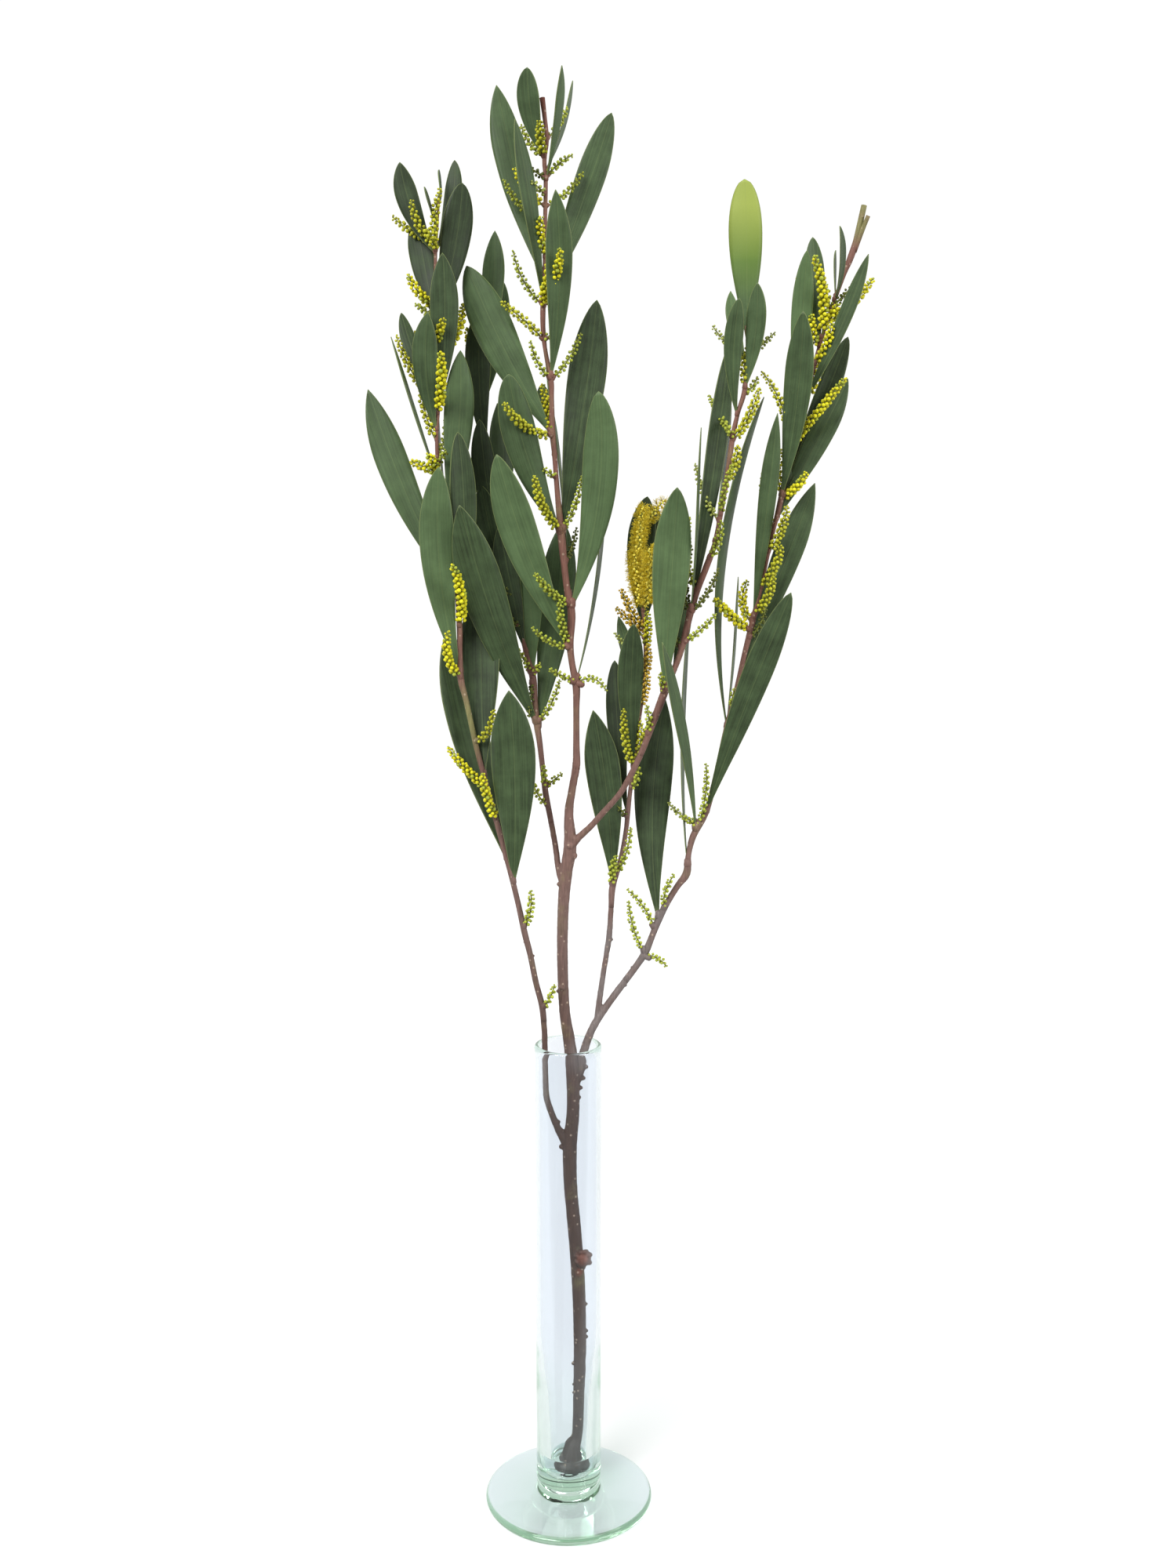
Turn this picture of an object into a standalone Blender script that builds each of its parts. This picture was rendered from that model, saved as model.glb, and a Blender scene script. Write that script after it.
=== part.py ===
"""Long-leaved wattle branch, in bud, standing in a footed glass bud vase.

Metres, +Z up. The origin is on the floor under the middle of the vase, and the front of the vase faces -Y.
"""
import math
from collections import namedtuple

import bmesh
import bpy
from mathutils import Matrix, Vector

MM = 0.001

# Vase: an upright tube on a round foot, with its cavity narrowing to a rounded bottom
VASE_HEIGHT = 292.0
TUBE_RADIUS = 20.0
WALL = 2.8
CAVITY_RADIUS = TUBE_RADIUS - WALL
CAVITY_FLOOR = 18.2
LIP_SWELL = 0.7
FOOT_RADIUS = 51.5
FOOT_THICKNESS = 5.0
FOOT_RISE = 8.8
BEAD_RADIUS = 19.5
BEAD_TOP = 14.2
VASE_STEPS = 28

# Cavity radius at each height where the glass thickens towards the bottom
CAVITY = ((8.0, 18.6), (10.0, 20.8), (11.0, 28.0), (11.3, 40.0), (13.0, 66.0), (15.8, 92.0))

WATER_TOP = 30.5
WATER_STEPS = 20
GAP = 0.3
BUTT_GAP = 0.4

# Places on the plant are read in the upright plane through the vase's axis, as seen from this eye point,
# and are then set back (+) or forward (-) by their depth. Heights there count from BOARD_ZERO.
EYE = Vector((12.0, -879.0, 568.2))
BOARD_ZERO = -2.4

ROUTE_STEP = 15.0
TRUNK_SIDES = 2
SHOOT_SIDES = 1

# Leaf blades: stations along the midline, with the share of the full width at each
LEAF_THICKNESS = 0.7
LEAF_STATIONS = (0.0, 0.25, 0.5, 0.75, 0.91, 1.0)
WIDEST = 0.68
STALK_SHARE = 0.07
TIP_SHARE = 0.12

# Flower spikes: a slim core that buds stand out of, turn by turn
BUD_PITCH = 4.8
BUD_REACH = 3.4
CORE_RADIUS = 1.5
STALK_RADIUS = 0.8
OPEN_SCALE = 1.35

FLAT_ANGLE = math.radians(2.0)

KNOT_PLACE = (8.2, 159.0, -1.0)
KNOT_RADIUS = 5.0

Leaf = namedtuple("Leaf", "height tip_x tip_z depth width turn bow twist", defaults=(0,))
Spike = namedtuple("Spike", "height tip_x tip_z depth bow open", defaults=(False,))
Shoot = namedtuple("Shoot", "name route butt leaves spikes")

# Routes: x, height, depth and radius of the wood, in millimetres
CENTRE_ROUTE = (
    (1.5, 23.5, 0, 5.8), (2, 31, 0, 6.2), (4.4, 39, 0, 4.7), (6.3, 50, 0, 4.1), (7, 80, 0, 4.1),
    (7, 110, 0, 4.0), (6, 145, 0, 4.1), (4, 175, 0, 4.1), (1.5, 205, 0, 4.1), (1, 230, 0, 4.3),
    (3, 255, 0, 3.9), (2.5, 280, 0, 4.0), (0.5, 298, 0, 3.6), (-2, 315, 0, 3.3), (-3.2, 345, 1, 3.3),
    (-2.8, 375, 1, 3.4), (-1, 398, 1, 3.7), (1.5, 415, 0, 3.9), (0.8, 435, 0, 2.7), (3.2, 451, 0, 2.3),
    (5.2, 463, 0, 2.4),
    (5.2, 475, 0, 2.0), (5.2, 495, -1, 1.9), (5.2, 509, -1, 2.3), (2.8, 522, -1, 1.95), (1.6, 534, -2, 2.2),
    (2.5, 551, -2, 2.4), (0, 565, -2, 2.0), (-1.8, 580, -3, 2.0), (-3.2, 595, -3, 2.3), (-5.5, 620, -3, 1.6),
    (-7, 640, -4, 1.5), (-8.3, 655, -4, 1.8), (-8.6, 672, -4, 1.45), (-9, 682, -4, 1.7),
    (-11.8, 697, -4, 1.25), (-13.2, 708, -4, 1.4), (-13.3, 722, -4, 1.6), (-12.3, 740, -4, 1.25),
    (-12, 765, -4, 1.2), (-11.5, 790, -4, 1.25), (-12.2, 801, -4, 1.3), (-10.8, 812, -4, 1.15),
    (-12, 824, -4, 0.95), (-13.3, 833, -4, 0.8),
)
LEFT_LOW_ROUTE = (
    (-1, 232, 0, 2.6), (-5.5, 241, -1, 2.2), (-9.5, 251, -1, 2.0), (-12.8, 262, -1.5, 1.9),
    (-13.4, 275, -2, 1.8), (-13.8, 290, -2, 1.8), (-14.2, 304, -3, 1.8), (-15.5, 318, -4, 1.9),
    (-19, 332, -5, 1.8), (-22.3, 349, -7, 1.8), (-25.5, 362, -8, 1.9), (-29.3, 380, -9, 1.7),
    (-33.5, 398, -10, 1.7), (-38.2, 416, -11, 1.7), (-43, 434, -11, 1.6), (-48.5, 455, -12, 1.6),
    (-53.5, 475, -12, 1.6), (-58.7, 500, -12, 1.6), (-61.8, 513, -12, 1.9), (-62.2, 528, -12, 1.6),
    (-62.3, 545, -12, 1.7), (-64, 570, -12, 1.4), (-68.5, 600, -11, 1.3), (-73, 630, -10, 1.2),
    (-74, 650, -10, 1.0), (-72.8, 668, -9, 1.1), (-72.3, 690, -8, 0.95), (-73, 715, -8, 0.95),
    (-73.5, 735, -8, 0.9), (-73.2, 752, -8, 0.95), (-72, 768, -8, 0.8), (-71, 782, -8, 0.75),
)
LEFT_BACK_ROUTE = (
    (-2, 390, 1, 2.2), (-5.2, 400, 2.5, 1.9), (-7.2, 415, 5, 1.8), (-10, 431, 7, 1.75), (-12.8, 446, 9, 1.9),
    (-14.3, 459, 10, 1.7), (-16.2, 476, 11, 1.8), (-17.8, 487, 12, 2.1), (-19, 500, 13, 1.9),
    (-20, 514, 14, 2.2), (-23.5, 527, 15, 1.5), (-27.5, 543, 17, 1.5), (-32, 557, 19, 1.5),
    (-37, 577, 21, 1.4), (-42, 605, 24, 1.3), (-45.5, 640, 26, 1.2), (-46.5, 670, 28, 1.1),
    (-45, 700, 29, 1.0), (-43, 722, 30, 0.9),
)
MIDDLE_ROUTE = (
    (1, 413, 0, 2.6), (6, 419.5, -2, 2.2), (13, 426, -4, 1.9), (22, 436, -7, 1.8), (31, 446.5, -10, 1.8),
    (38.5, 460, -12, 1.8), (43.5, 471, -13, 1.8), (48.5, 484, -14, 1.9), (55.5, 503, -15, 2.3),
    (60, 514, -15, 1.8), (66, 530, -15, 1.8), (70.5, 549, -15, 2.0), (75, 564, -15, 1.7),
    (80.5, 579, -15, 1.9), (84.5, 590, -15, 1.5), (88, 608, -14, 1.4), (91.8, 632, -13, 1.5),
    (94.3, 651, -12, 1.5), (97, 664, -11, 1.25), (100.3, 675, -10, 1.4), (101.8, 690, -9, 1.0),
    (102, 700, -9, 0.9), (100.9, 712, -9, 0.8),
)
RIGHT_ROUTE = (
    (3.5, 268, 1, 2.8), (7.5, 280, 2, 2.9), (9.5, 290, 3, 2.6), (13.3, 301, 4, 2.4), (18.5, 311, 6, 2.4),
    (25, 320.5, 8, 2.2), (32.5, 331, 10, 2.1), (40.5, 342, 12, 2.0), (46.2, 351, 13, 2.2),
    (50.2, 361, 14, 1.9), (53.8, 370.5, 15, 2.2), (59, 381, 15, 1.9), (65, 391, 15, 1.9),
    (70.2, 398.5, 15, 2.4), (71.3, 410, 15, 1.7), (74, 421, 15, 2.0), (80, 432, 15, 1.9),
    (83.5, 442, 15, 1.7), (88, 462, 16, 1.6), (93, 485, 16, 1.8), (98.5, 508, 16, 1.6), (102, 525, 15, 1.5),
    (105.8, 541, 15, 1.8), (108.5, 553, 14, 1.5), (112, 569, 13, 1.4), (115, 585, 12, 1.5),
    (118.5, 600, 12, 1.3), (122, 615, 11, 1.7), (124.5, 630, 11, 1.25), (127, 645, 10, 1.3),
    (131.5, 662, 10, 1.2), (137, 680, 9, 1.3), (141.5, 697, 9, 1.2), (146, 713, 8, 1.1),
    (150.5, 726, 8, 1.0), (155.5, 740, 8, 0.95), (161.3, 756, 8, 1.3), (163.5, 766, 8, 1.1),
    (165.8, 776, 8, 1.2),
)
SHORT_ROUTE = (
    (18, 309, 6, 1.8), (19.2, 318, 7, 1.6), (20.8, 330, 8, 1.45), (23, 345, 9, 1.4), (25.3, 360, 10, 1.6),
    (26.4, 378, 11, 1.4), (27, 391, 12, 1.9), (31.5, 407, 13, 1.3), (34.3, 424, 13, 1.3),
    (35.3, 434, 13, 1.5), (36.8, 448, 13, 1.3), (38.6, 462, 13, 1.5), (40.5, 480, 13, 1.2),
    (43, 500, 12, 1.3), (45, 518, 12, 1.1), (45, 538, 11, 1.1), (43.5, 555, 11, 1.1),
)

CENTRE = Shoot(
    "centre_shoot", CENTRE_ROUTE, 463,
    leaves=(
        Leaf(736, -38.5, 840.5, 14, 18, 10, -2), Leaf(802, -21.5, 850, -14, 12.5, -15, -3),
        Leaf(724, -28.5, 823, -22, 13.5, 32, -5), Leaf(790, -2.5, 851, -34, 9, 62, 2),
        Leaf(795, 3.7, 843, 24, 8, 72, 2), Leaf(723, 25, 826, 20, 16.5, 5, 1),
        Leaf(683, -6, 785.5, -28, 15, 10, 3), Leaf(652, -56, 744.5, 2, 23, -10, -3),
        Leaf(596, 17, 726, 14, 22, 10, 1), Leaf(554, 18, 676, -24, 20.5, -10, 7),
        Leaf(596, -33, 685.5, -24, 19.5, 8, -5), Leaf(531, -40, 641, -26, 21.5, -6, -4),
        Leaf(652, -14, 680, 14, 8, 0, -1), Leaf(511, 21, 642, 36, 12, 78, 5),
        Leaf(640, -13.2, 725, 46, 15, 88, 0), Leaf(560, -8.4, 668, 44, 17, 88, 1),
    ),
    spikes=(
        Spike(812, 0.5, 829, 6, 1), Spike(802, -14.5, 822, -14, -1), Spike(802, -25, 820, 4, -2),
        Spike(792, 3.5, 804, -10, -1), Spike(791, -20, 797, -10, 0), Spike(783, -19.5, 790, -15, 0),
        Spike(776, 9.5, 795, 8, 2), Spike(776, -28.5, 797, 12, -2), Spike(767, -35, 791, 0, -3),
        Spike(748, -14.5, 771, -12, -1), Spike(738, -3, 754, -14, 2), Spike(728, -10, 748, -14, 1),
        Spike(723, -30, 753, -10, -3), Spike(723, -12, 735, -16, 0), Spike(722, -7, 735, 8, 1),
        Spike(704, -37, 725, -12, 1), Spike(704, -6.5, 709, -8, 0), Spike(682, -20.5, 704, -14, -2),
        Spike(682, 8, 708, 1, 2), Spike(651, -35.5, 669.5, -34, -4), Spike(652, -14, 680, 2, 0),
        Spike(628, -13.5, 633, -10, 0), Spike(597, -18.5, 629, -30, -3), Spike(597, 8.5, 629, -10, 2),
        Spike(579, 5.5, 600, 8, 1), Spike(556, -18.5, 574, -26, -2), Spike(532, -4, 559, -14, -2),
        Spike(531, -20.5, 543, -18, -2), Spike(511, -10.5, 519, -14, 0), Spike(511, 23, 506, -10, -5),
    ),
)
LEFT_LOW = Shoot(
    "left_low_shoot", LEFT_LOW_ROUTE, 309,
    leaves=(
        Leaf(392, -34, 506.5, -36, 25.5, -8, 1.5), Leaf(406, -69, 542, 14, 24, 15, -3),
        Leaf(456, -54, 560, 2, 17, -20, -2), Leaf(516, -73, 634, -26, 19.5, 5, -6),
        Leaf(560, -112.5, 677, 2, 18.5, 0, -4), Leaf(622, -99, 706, -20, 9, 84, -1),
        Leaf(602, -60, 698.5, -6, 17, 8, 2), Leaf(548, -62, 653.5, -22, 15, 12, 3),
        Leaf(654, -78, 719.5, -22, 14, -8, -4), Leaf(666, -93, 719, 8, 9, 5, -2),
        Leaf(667, -69.5, 751.5, -16, 16, 5, 2), Leaf(713, -84, 770, 0, 14, -10, -1),
        Leaf(751, -92.5, 800, -8, 12.5, 0, -3.5), Leaf(752, -62, 801, 12, 9.5, -10, 3),
        Leaf(714, -58, 789, -2, 17, 10, 2), Leaf(766, -79, 787, -22, 7, 80, -1),
        Leaf(776, -70.5, 796, 2, 7, 78, 1), Leaf(517, -66.5, 598, 34, 17, 86, 0),
        Leaf(601, -74.5, 684, 32, 14, 84, 0),
    ),
    spikes=(
        Spike(316, -8, 331, -10, 1), Spike(365, -22, 388, -16, 2), Spike(430, -50, 458, -28, -1),
        Spike(449, -70, 473.5, -10, -1), Spike(476, -43, 495, -28, 3), Spike(513, -68.5, 541, -26, -4),
        Spike(543, -66, 579, -38, 3), Spike(631, -89, 637, -14, 0), Spike(632, -79, 641, -20, 0),
        Spike(636, -68.5, 643, -18, 0), Spike(648, -82.5, 681, -10, -2), Spike(668, -96, 707, -10, -3),
        Spike(640, -69, 661, -4, 2), Spike(663, -71, 698, -32, 1), Spike(700, -69, 716, -20, -1),
        Spike(683, -85.5, 709, 10, -2), Spike(697, -58, 725, -22, 5), Spike(722, -89, 740, -12, -2),
        Spike(715, -85, 724, 6, 0), Spike(735, -60.5, 742, -20, 0), Spike(752, -70, 786, -18, -2),
        Spike(756, -86.5, 780, -15, -3), Spike(758, -97, 771, 4, -2), Spike(752, -77, 765, -18, 0),
    ),
)
LEFT_BACK = Shoot(
    "left_back_shoot", LEFT_BACK_ROUTE, 430,
    leaves=(
        Leaf(487, -61.5, 612.5, -34, 25, -5, -4), Leaf(484, -2, 603, 44, 22, 10, 2),
        Leaf(515, -29, 612, 26, 15, -10, -1), Leaf(528, -39, 601, 38, 14, 5, -1),
        Leaf(560, -49, 624, 42, 15, 0, -2), Leaf(580, -49.5, 660.5, 42, 14, 8, -2),
        Leaf(600, -39.5, 669.5, 48, 15, -5, 4), Leaf(640, -48.5, 722, 42, 15, 10, -3),
        Leaf(670, -36.5, 737, 50, 13, 0, 1.5), Leaf(690, -40, 763.5, 36, 13, -8, 1),
    ),
    spikes=(
        Spike(438, -21.5, 458, 2, -2), Spike(450, -14, 463, 1, 0), Spike(450, -3, 458, 6, 0),
        Spike(487, -4.5, 513, 4, 2), Spike(514, -22.5, 491, 7, 0), Spike(516, -29, 531, 8, 0),
        Spike(516, -15.5, 522, 6, 0), Spike(543, -34, 549, 10, 0), Spike(556, -35, 566, 14, 0),
        Spike(682, -56, 711, 22, -2),
    ),
)
MIDDLE = Shoot(
    "middle_shoot", MIDDLE_ROUTE, 470,
    leaves=(
        Leaf(506, 63, 622.5, -36, 21, 5, -1), Leaf(552, 76.5, 656, -52, 12, 84, 1),
        Leaf(552, 91.5, 701, 12, 15, 12, 1), Leaf(703, 99, 791, -12, 18.5, 0, 0),
        Leaf(690, 92, 731, 8, 8, 10, -2), Leaf(662, 97, 727, -24, 10.5, 8, -3),
        Leaf(677, 107, 735.5, -22, 11, -8, 2), Leaf(640, 111, 677, -5, 11, 20, 3),
        Leaf(516, 67.5, 560, -1, 9, 10, 2), Leaf(591, 93, 668, 30, 14, 85, 0),
    ),
    spikes=(
        Spike(480, 46, 498, -20, 1), Spike(505, 54, 517, -24, 0), Spike(549, 68.5, 587, -16, -3),
        Spike(530, 62, 552, -12, -2), Spike(551, 87, 577, -25, 2), Spike(534, 86, 551, -24, 1),
        Spike(581, 88, 604, -22, 2), Spike(562, 70.5, 606, -8, -3), Spike(603, 73, 636, 14, -2),
        Spike(606, 88, 641, -22, -3), Spike(626, 97, 646, -22, 2), Spike(648, 109, 678, -20, 2),
        Spike(650, 91, 657, -18, 0), Spike(652, 80.5, 674, 14, -1), Spike(678, 102, 700, -11, -1),
        Spike(674, 108, 684, -4, 1), Spike(692, 82, 712, -2, -1), Spike(694, 117.5, 708.5, -4, 0),
    ),
)
RIGHT = Shoot(
    "right_shoot", RIGHT_ROUTE, 334,
    leaves=(
        Leaf(370.5, 56.5, 503, 34, 23, -5, -6), Leaf(434, 129, 563, -16, 20.5, 6, -1.5),
        Leaf(514, 141.5, 625, 20, 17, 10, 0), Leaf(604, 159, 683, 20, 15.5, 0, 0),
        Leaf(616, 158.5, 706, 34, 13, 5, 1), Leaf(700, 169, 750.5, -6, 10, -10, 4),
        Leaf(725, 152.5, 766, -14, 8, 66, 3), Leaf(727, 150.5, 753, 20, 6, 78, 0),
        Leaf(617, 133, 720, -16, 16, -8, 2), Leaf(660, 134.5, 753, -2, 12, 5, -3),
        Leaf(700, 137.5, 760, 16, 11, 0, 3), Leaf(548, 119.5, 664, -6, 10.5, 10, 0),
        Leaf(485, 104, 652, 8, 15, 62, -8, 8), Leaf(402, 71, 556, 21, 14, 80, -4),
        Leaf(424, 55, 534.5, -40, 10, 50, 2.5), Leaf(484, 98.6, 572, 50, 18, 86, 0),
        Leaf(561, 119, 650, 44, 15, 86, 0),
    ),
    spikes=(
        Spike(350, 36, 382, 4, -2), Spike(349, 59, 342, 8, -2), Spike(365, 35, 389, 8, 2),
        Spike(376, 63, 398, 8, -2), Spike(426, 81, 464, 4, 2), Spike(427, 66.5, 433, 8, 0),
        Spike(428, 59, 441, 20, -2), Spike(495, 97, 508, 8, 0), Spike(541, 85, 559.5, 4, -1),
        Spike(545, 103.5, 570, 19, -4), Spike(536, 114.5, 555, 8, 2), Spike(550, 119, 572, 4, 2),
        Spike(565, 123, 590, 0, 2), Spike(585, 126, 612, -2, 2), Spike(600, 114, 641, -10, -3),
        Spike(617, 136.5, 631, 7, 2), Spike(618, 122, 644, 13, -2), Spike(640, 110, 687, -6, 5),
        Spike(646, 158, 683.5, -2, 0), Spike(672, 143, 701, 13, 3), Spike(690, 149, 714, 0, 2),
        Spike(700, 138, 718, 0, -2), Spike(705, 138.5, 750, -14, 3), Spike(714, 152, 724, 0, 1),
        Spike(705, 130, 739, 24, -2), Spike(722, 161, 734, 1, 0), Spike(720, 145, 735, 0, 0),
        Spike(713, 172, 738, 16, 2),
    ),
)
SHORT = Shoot(
    "short_shoot", SHORT_ROUTE, 380,
    leaves=(
        Leaf(391, 15, 495, 0, 20.5, 8, 2), Leaf(461, 38.5, 545, -3, 15, 5, -2),
        Leaf(433, 27.5, 524, 26, 12, -10, -2), Leaf(500, 29.5, 549.5, 26, 8, 15, 0),
        Leaf(540, 46, 617.5, 22, 16.5, 5, -3.5), Leaf(545, 50.5, 612.5, 34, 10, 0, 3),
    ),
    spikes=(
        Spike(391, 28.5, 409, 2, -1), Spike(397, 37, 426, 5, 2), Spike(432, 30, 438, 6, 0),
        Spike(448, 41, 464, 5, 2), Spike(461, 33, 496, -6, -2), Spike(463, 42.5, 489, 9, 2),
        Spike(497, 46.5, 517, 2, 1), Spike(515, 46.5, 533, 2, 1), Spike(530, 46.5, 554, 2, 1),
        Spike(541, 31, 565, 2, -1), Spike(536, 28, 554, 16, 1), Spike(520, 27, 540, 14, 0),
        Spike(555, 38.5, 585, 4, -2, True), Spike(556, 49, 588, -9, 2, True), Spike(560, 42, 607, -6, -2),
        Spike(555, 54.5, 615, 22, -6, True),
    ),
)
SHOOTS = (CENTRE, LEFT_LOW, LEFT_BACK, MIDDLE, RIGHT, SHORT)

Station = namedtuple("Station", "place radius height")


def clear_scene():
    for item in list(bpy.data.objects):
        bpy.data.objects.remove(item, do_unlink=True)


def new_collection(name):
    collection = bpy.data.collections.new(name)
    bpy.context.scene.collection.children.link(collection)
    return collection


def surface(name, colour, roughness, transmission=0.0):
    """Plain finish of a sub-part."""
    material = bpy.data.materials.new(name)
    material.use_nodes = True
    shader = material.node_tree.nodes["Principled BSDF"]
    shader.inputs["Base Color"].default_value = (*colour, 1.0)
    shader.inputs["Roughness"].default_value = roughness
    shader.inputs["Metallic"].default_value = 0.0
    shader.inputs["Transmission Weight"].default_value = transmission
    return material


def place_mesh(name, mesh, collection):
    item = bpy.data.objects.new(name, mesh)
    collection.objects.link(item)
    return item


def as_mesh(item):
    """Turn an object with curves or modifiers into a plain mesh object of the same name."""
    graph = bpy.context.evaluated_depsgraph_get()
    mesh = bpy.data.meshes.new_from_object(item.evaluated_get(graph))
    shape = bmesh.new()
    shape.from_mesh(mesh)
    shape.transform(item.matrix_world)
    bmesh.ops.remove_doubles(shape, verts=shape.verts, dist=0.002 * MM)
    shape.to_mesh(mesh)
    shape.free()
    name, collections = item.name, list(item.users_collection)
    bpy.data.objects.remove(item, do_unlink=True)
    solid = bpy.data.objects.new(name, mesh)
    for collection in collections:
        collection.objects.link(solid)
    return solid


def seen(x, height, depth):
    """The place at a depth, in metres, that is seen at x and height in the upright plane of the axis."""
    board = Vector((x, 0.0, height + BOARD_ZERO))
    return (EYE + (board - EYE) * ((depth - EYE.y) / -EYE.y)) * MM


def spline_value(before, start, end, after, t):
    """Catmull-Rom value between start and end."""
    slope_in, slope_out = (end - before) / 2, (after - start) / 2
    return (start * (2 * t**3 - 3 * t**2 + 1) + slope_in * (t**3 - 2 * t**2 + t)
            + end * (3 * t**2 - 2 * t**3) + slope_out * (t**3 - t**2))


def smoothed(route):
    """Stations along a smooth curve through the route's points."""
    rows = [Vector(row) for row in route]
    rows = [rows[0] * 2 - rows[1], *rows, rows[-1] * 2 - rows[-2]]
    stations = []
    for before, start, end, after in zip(rows, rows[1:], rows[2:], rows[3:]):
        steps = max(1, round((end - start).length / ROUTE_STEP))
        for step in range(steps):
            x, height, depth, radius = spline_value(before, start, end, after, step / steps)
            stations.append(Station(seen(x, height, depth), radius * MM, height))
    x, height, depth, radius = rows[-2]
    stations.append(Station(seen(x, height, depth), radius * MM, height))
    return stations


def station_at(stations, height):
    """The station at a height, read between its neighbours."""
    for low, high in zip(stations, stations[1:]):
        if low.height <= height <= high.height:
            share = (height - low.height) / (high.height - low.height)
            return Station(low.place.lerp(high.place, share),
                           low.radius + (high.radius - low.radius) * share, height)
    return stations[0] if height < stations[0].height else stations[-1]


def cut_route(stations, low, high):
    """The stretch of a route between two heights, its two ends straight for a clean butt joint."""
    inner = [item for item in stations if low + 4 < item.height < high - 4]
    return [station_at(stations, low), *inner, station_at(stations, high)]


def tube(name, stations, resolution, collection, spare=0.0):
    """A closed round rod along the stations; spare fattens it all over."""
    curve = bpy.data.curves.new(name, "CURVE")
    curve.dimensions = "3D"
    curve.bevel_depth = MM
    curve.bevel_resolution = resolution
    curve.use_fill_caps = True
    spline = curve.splines.new("POLY")
    spline.points.add(len(stations) - 1)
    for point, station in zip(spline.points, stations):
        point.co = (*station.place, 1.0)
        point.radius = station.radius / MM + spare
    return as_mesh(place_mesh(name, curve, collection))


def turned(name, profile, steps, collection):
    """A solid of revolution about the axis from (radius, height) points in millimetres."""
    mesh = bpy.data.meshes.new(name)
    points = [(radius * MM, 0.0, height * MM) for radius, height in profile]
    mesh.from_pydata(points, [(i, i + 1) for i in range(len(points) - 1)], [])
    item = place_mesh(name, mesh, collection)
    screw = item.modifiers.new("turn", "SCREW")
    screw.steps = screw.render_steps = steps
    screw.use_merge_vertices = True
    screw.merge_threshold = 0.00001
    return item


def arc(centre, radius, first, last, count):
    """Points on an arc in the profile plane, its angles in degrees from the outward direction."""
    angles = [math.radians(first + (last - first) * i / (count - 1)) for i in range(count)]
    return [(centre[0] + radius * math.cos(a), centre[1] + radius * math.sin(a)) for a in angles]


def vase_profile():
    """Cavity floor, up the inner wall, over the lip, down the tube, over the foot and in to the axis."""
    lip = (TUBE_RADIUS - WALL / 2, VASE_HEIGHT - WALL / 2 - LIP_SWELL / 2)
    edge = FOOT_THICKNESS / 2
    return [
        (0.0, CAVITY_FLOOR), *CAVITY, (CAVITY_RADIUS, 128.0), (CAVITY_RADIUS, lip[1] - 4.0),
        *arc(lip, WALL / 2 + LIP_SWELL / 2, 165, 15, 4), (TUBE_RADIUS, lip[1] - 4.0),
        (TUBE_RADIUS, BEAD_TOP + 1.0), (BEAD_RADIUS - 1.0, BEAD_TOP),
        (BEAD_RADIUS, BEAD_TOP - 1.5), (BEAD_RADIUS - 0.4, FOOT_RISE), (FOOT_RADIUS - edge, FOOT_THICKNESS),
        *arc((FOOT_RADIUS - edge, edge), edge, 45, -45, 3), (FOOT_RADIUS - edge, 0.0), (0.0, 0.0),
    ]


def water_profile():
    """Flat top, then down beside the cavity wall to its floor."""
    wet = [(radius - GAP, height + GAP / 2) for radius, height in CAVITY if height < WATER_TOP]
    wet.append((wet[-1][0] + 0.1, WATER_TOP))
    return [(0.0, WATER_TOP), *reversed(wet), (0.0, CAVITY_FLOOR + GAP)]


def boolean(item, other, operation, solver):
    """Join or cut item with an object or a whole collection, and apply it."""
    change = item.modifiers.new("boolean", "BOOLEAN")
    change.operation = operation
    change.solver = solver
    if isinstance(other, bpy.types.Collection):
        change.operand_type = "COLLECTION"
        change.collection = other
    else:
        change.object = other
    return as_mesh(item)


def fuse(item, repeats):
    """Unite item with everything in repeats, and keep the one outer body."""
    solid = boolean(item, repeats, "UNION", "MANIFOLD")
    for part in list(repeats.objects):
        bpy.data.objects.remove(part, do_unlink=True)
    bpy.data.collections.remove(repeats)
    tidy_body(solid.data)
    return solid


def tidy_body(mesh):
    """Merge what fusing left in nearly flat faces, and drop loose scraps and the walls of sealed hollows."""
    shape = bmesh.new()
    shape.from_mesh(mesh)
    bmesh.ops.dissolve_degenerate(shape, edges=shape.edges, dist=0.002 * MM)
    bmesh.ops.dissolve_limit(shape, angle_limit=FLAT_ANGLE, verts=shape.verts, edges=shape.edges)
    shape.verts.ensure_lookup_table()
    left, bodies = set(shape.verts), []
    while left:
        body, edge_of = set(), [left.pop()]
        while edge_of:
            vertex = edge_of.pop()
            body.add(vertex)
            near = {edge.other_vert(vertex) for edge in vertex.link_edges} & left
            left -= near
            edge_of.extend(near)
        bodies.append(body)
    outer = max(bodies, key=len)
    scraps = [vertex for body in bodies if body is not outer for vertex in body]
    bmesh.ops.delete(shape, geom=scraps, context="VERTS")
    bmesh.ops.triangulate(shape, faces=shape.faces)
    shape.to_mesh(mesh)
    shape.free()


def bowed(start, end, bow, t):
    """A point on the curve from start to end that bows to its right by bow millimetres."""
    across = (end - start).cross(EYE * MM - start).normalized()
    middle = (start + end) / 2 + across * (2 * bow * MM)
    return start * (1 - t)**2 + middle * (2 * t * (1 - t)) + end * t**2


def outline_share(t):
    """Share of a leaf's full width at t along it: a long taper below, a rounder tip above."""
    if t < WIDEST:
        return STALK_SHARE + (1 - STALK_SHARE) * math.sin(math.pi / 2 * t / WIDEST) ** 1.25
    return max(TIP_SHARE, math.sqrt(max(0.0, 1 - ((t - WIDEST) / (1 - WIDEST)) ** 2)))


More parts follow.
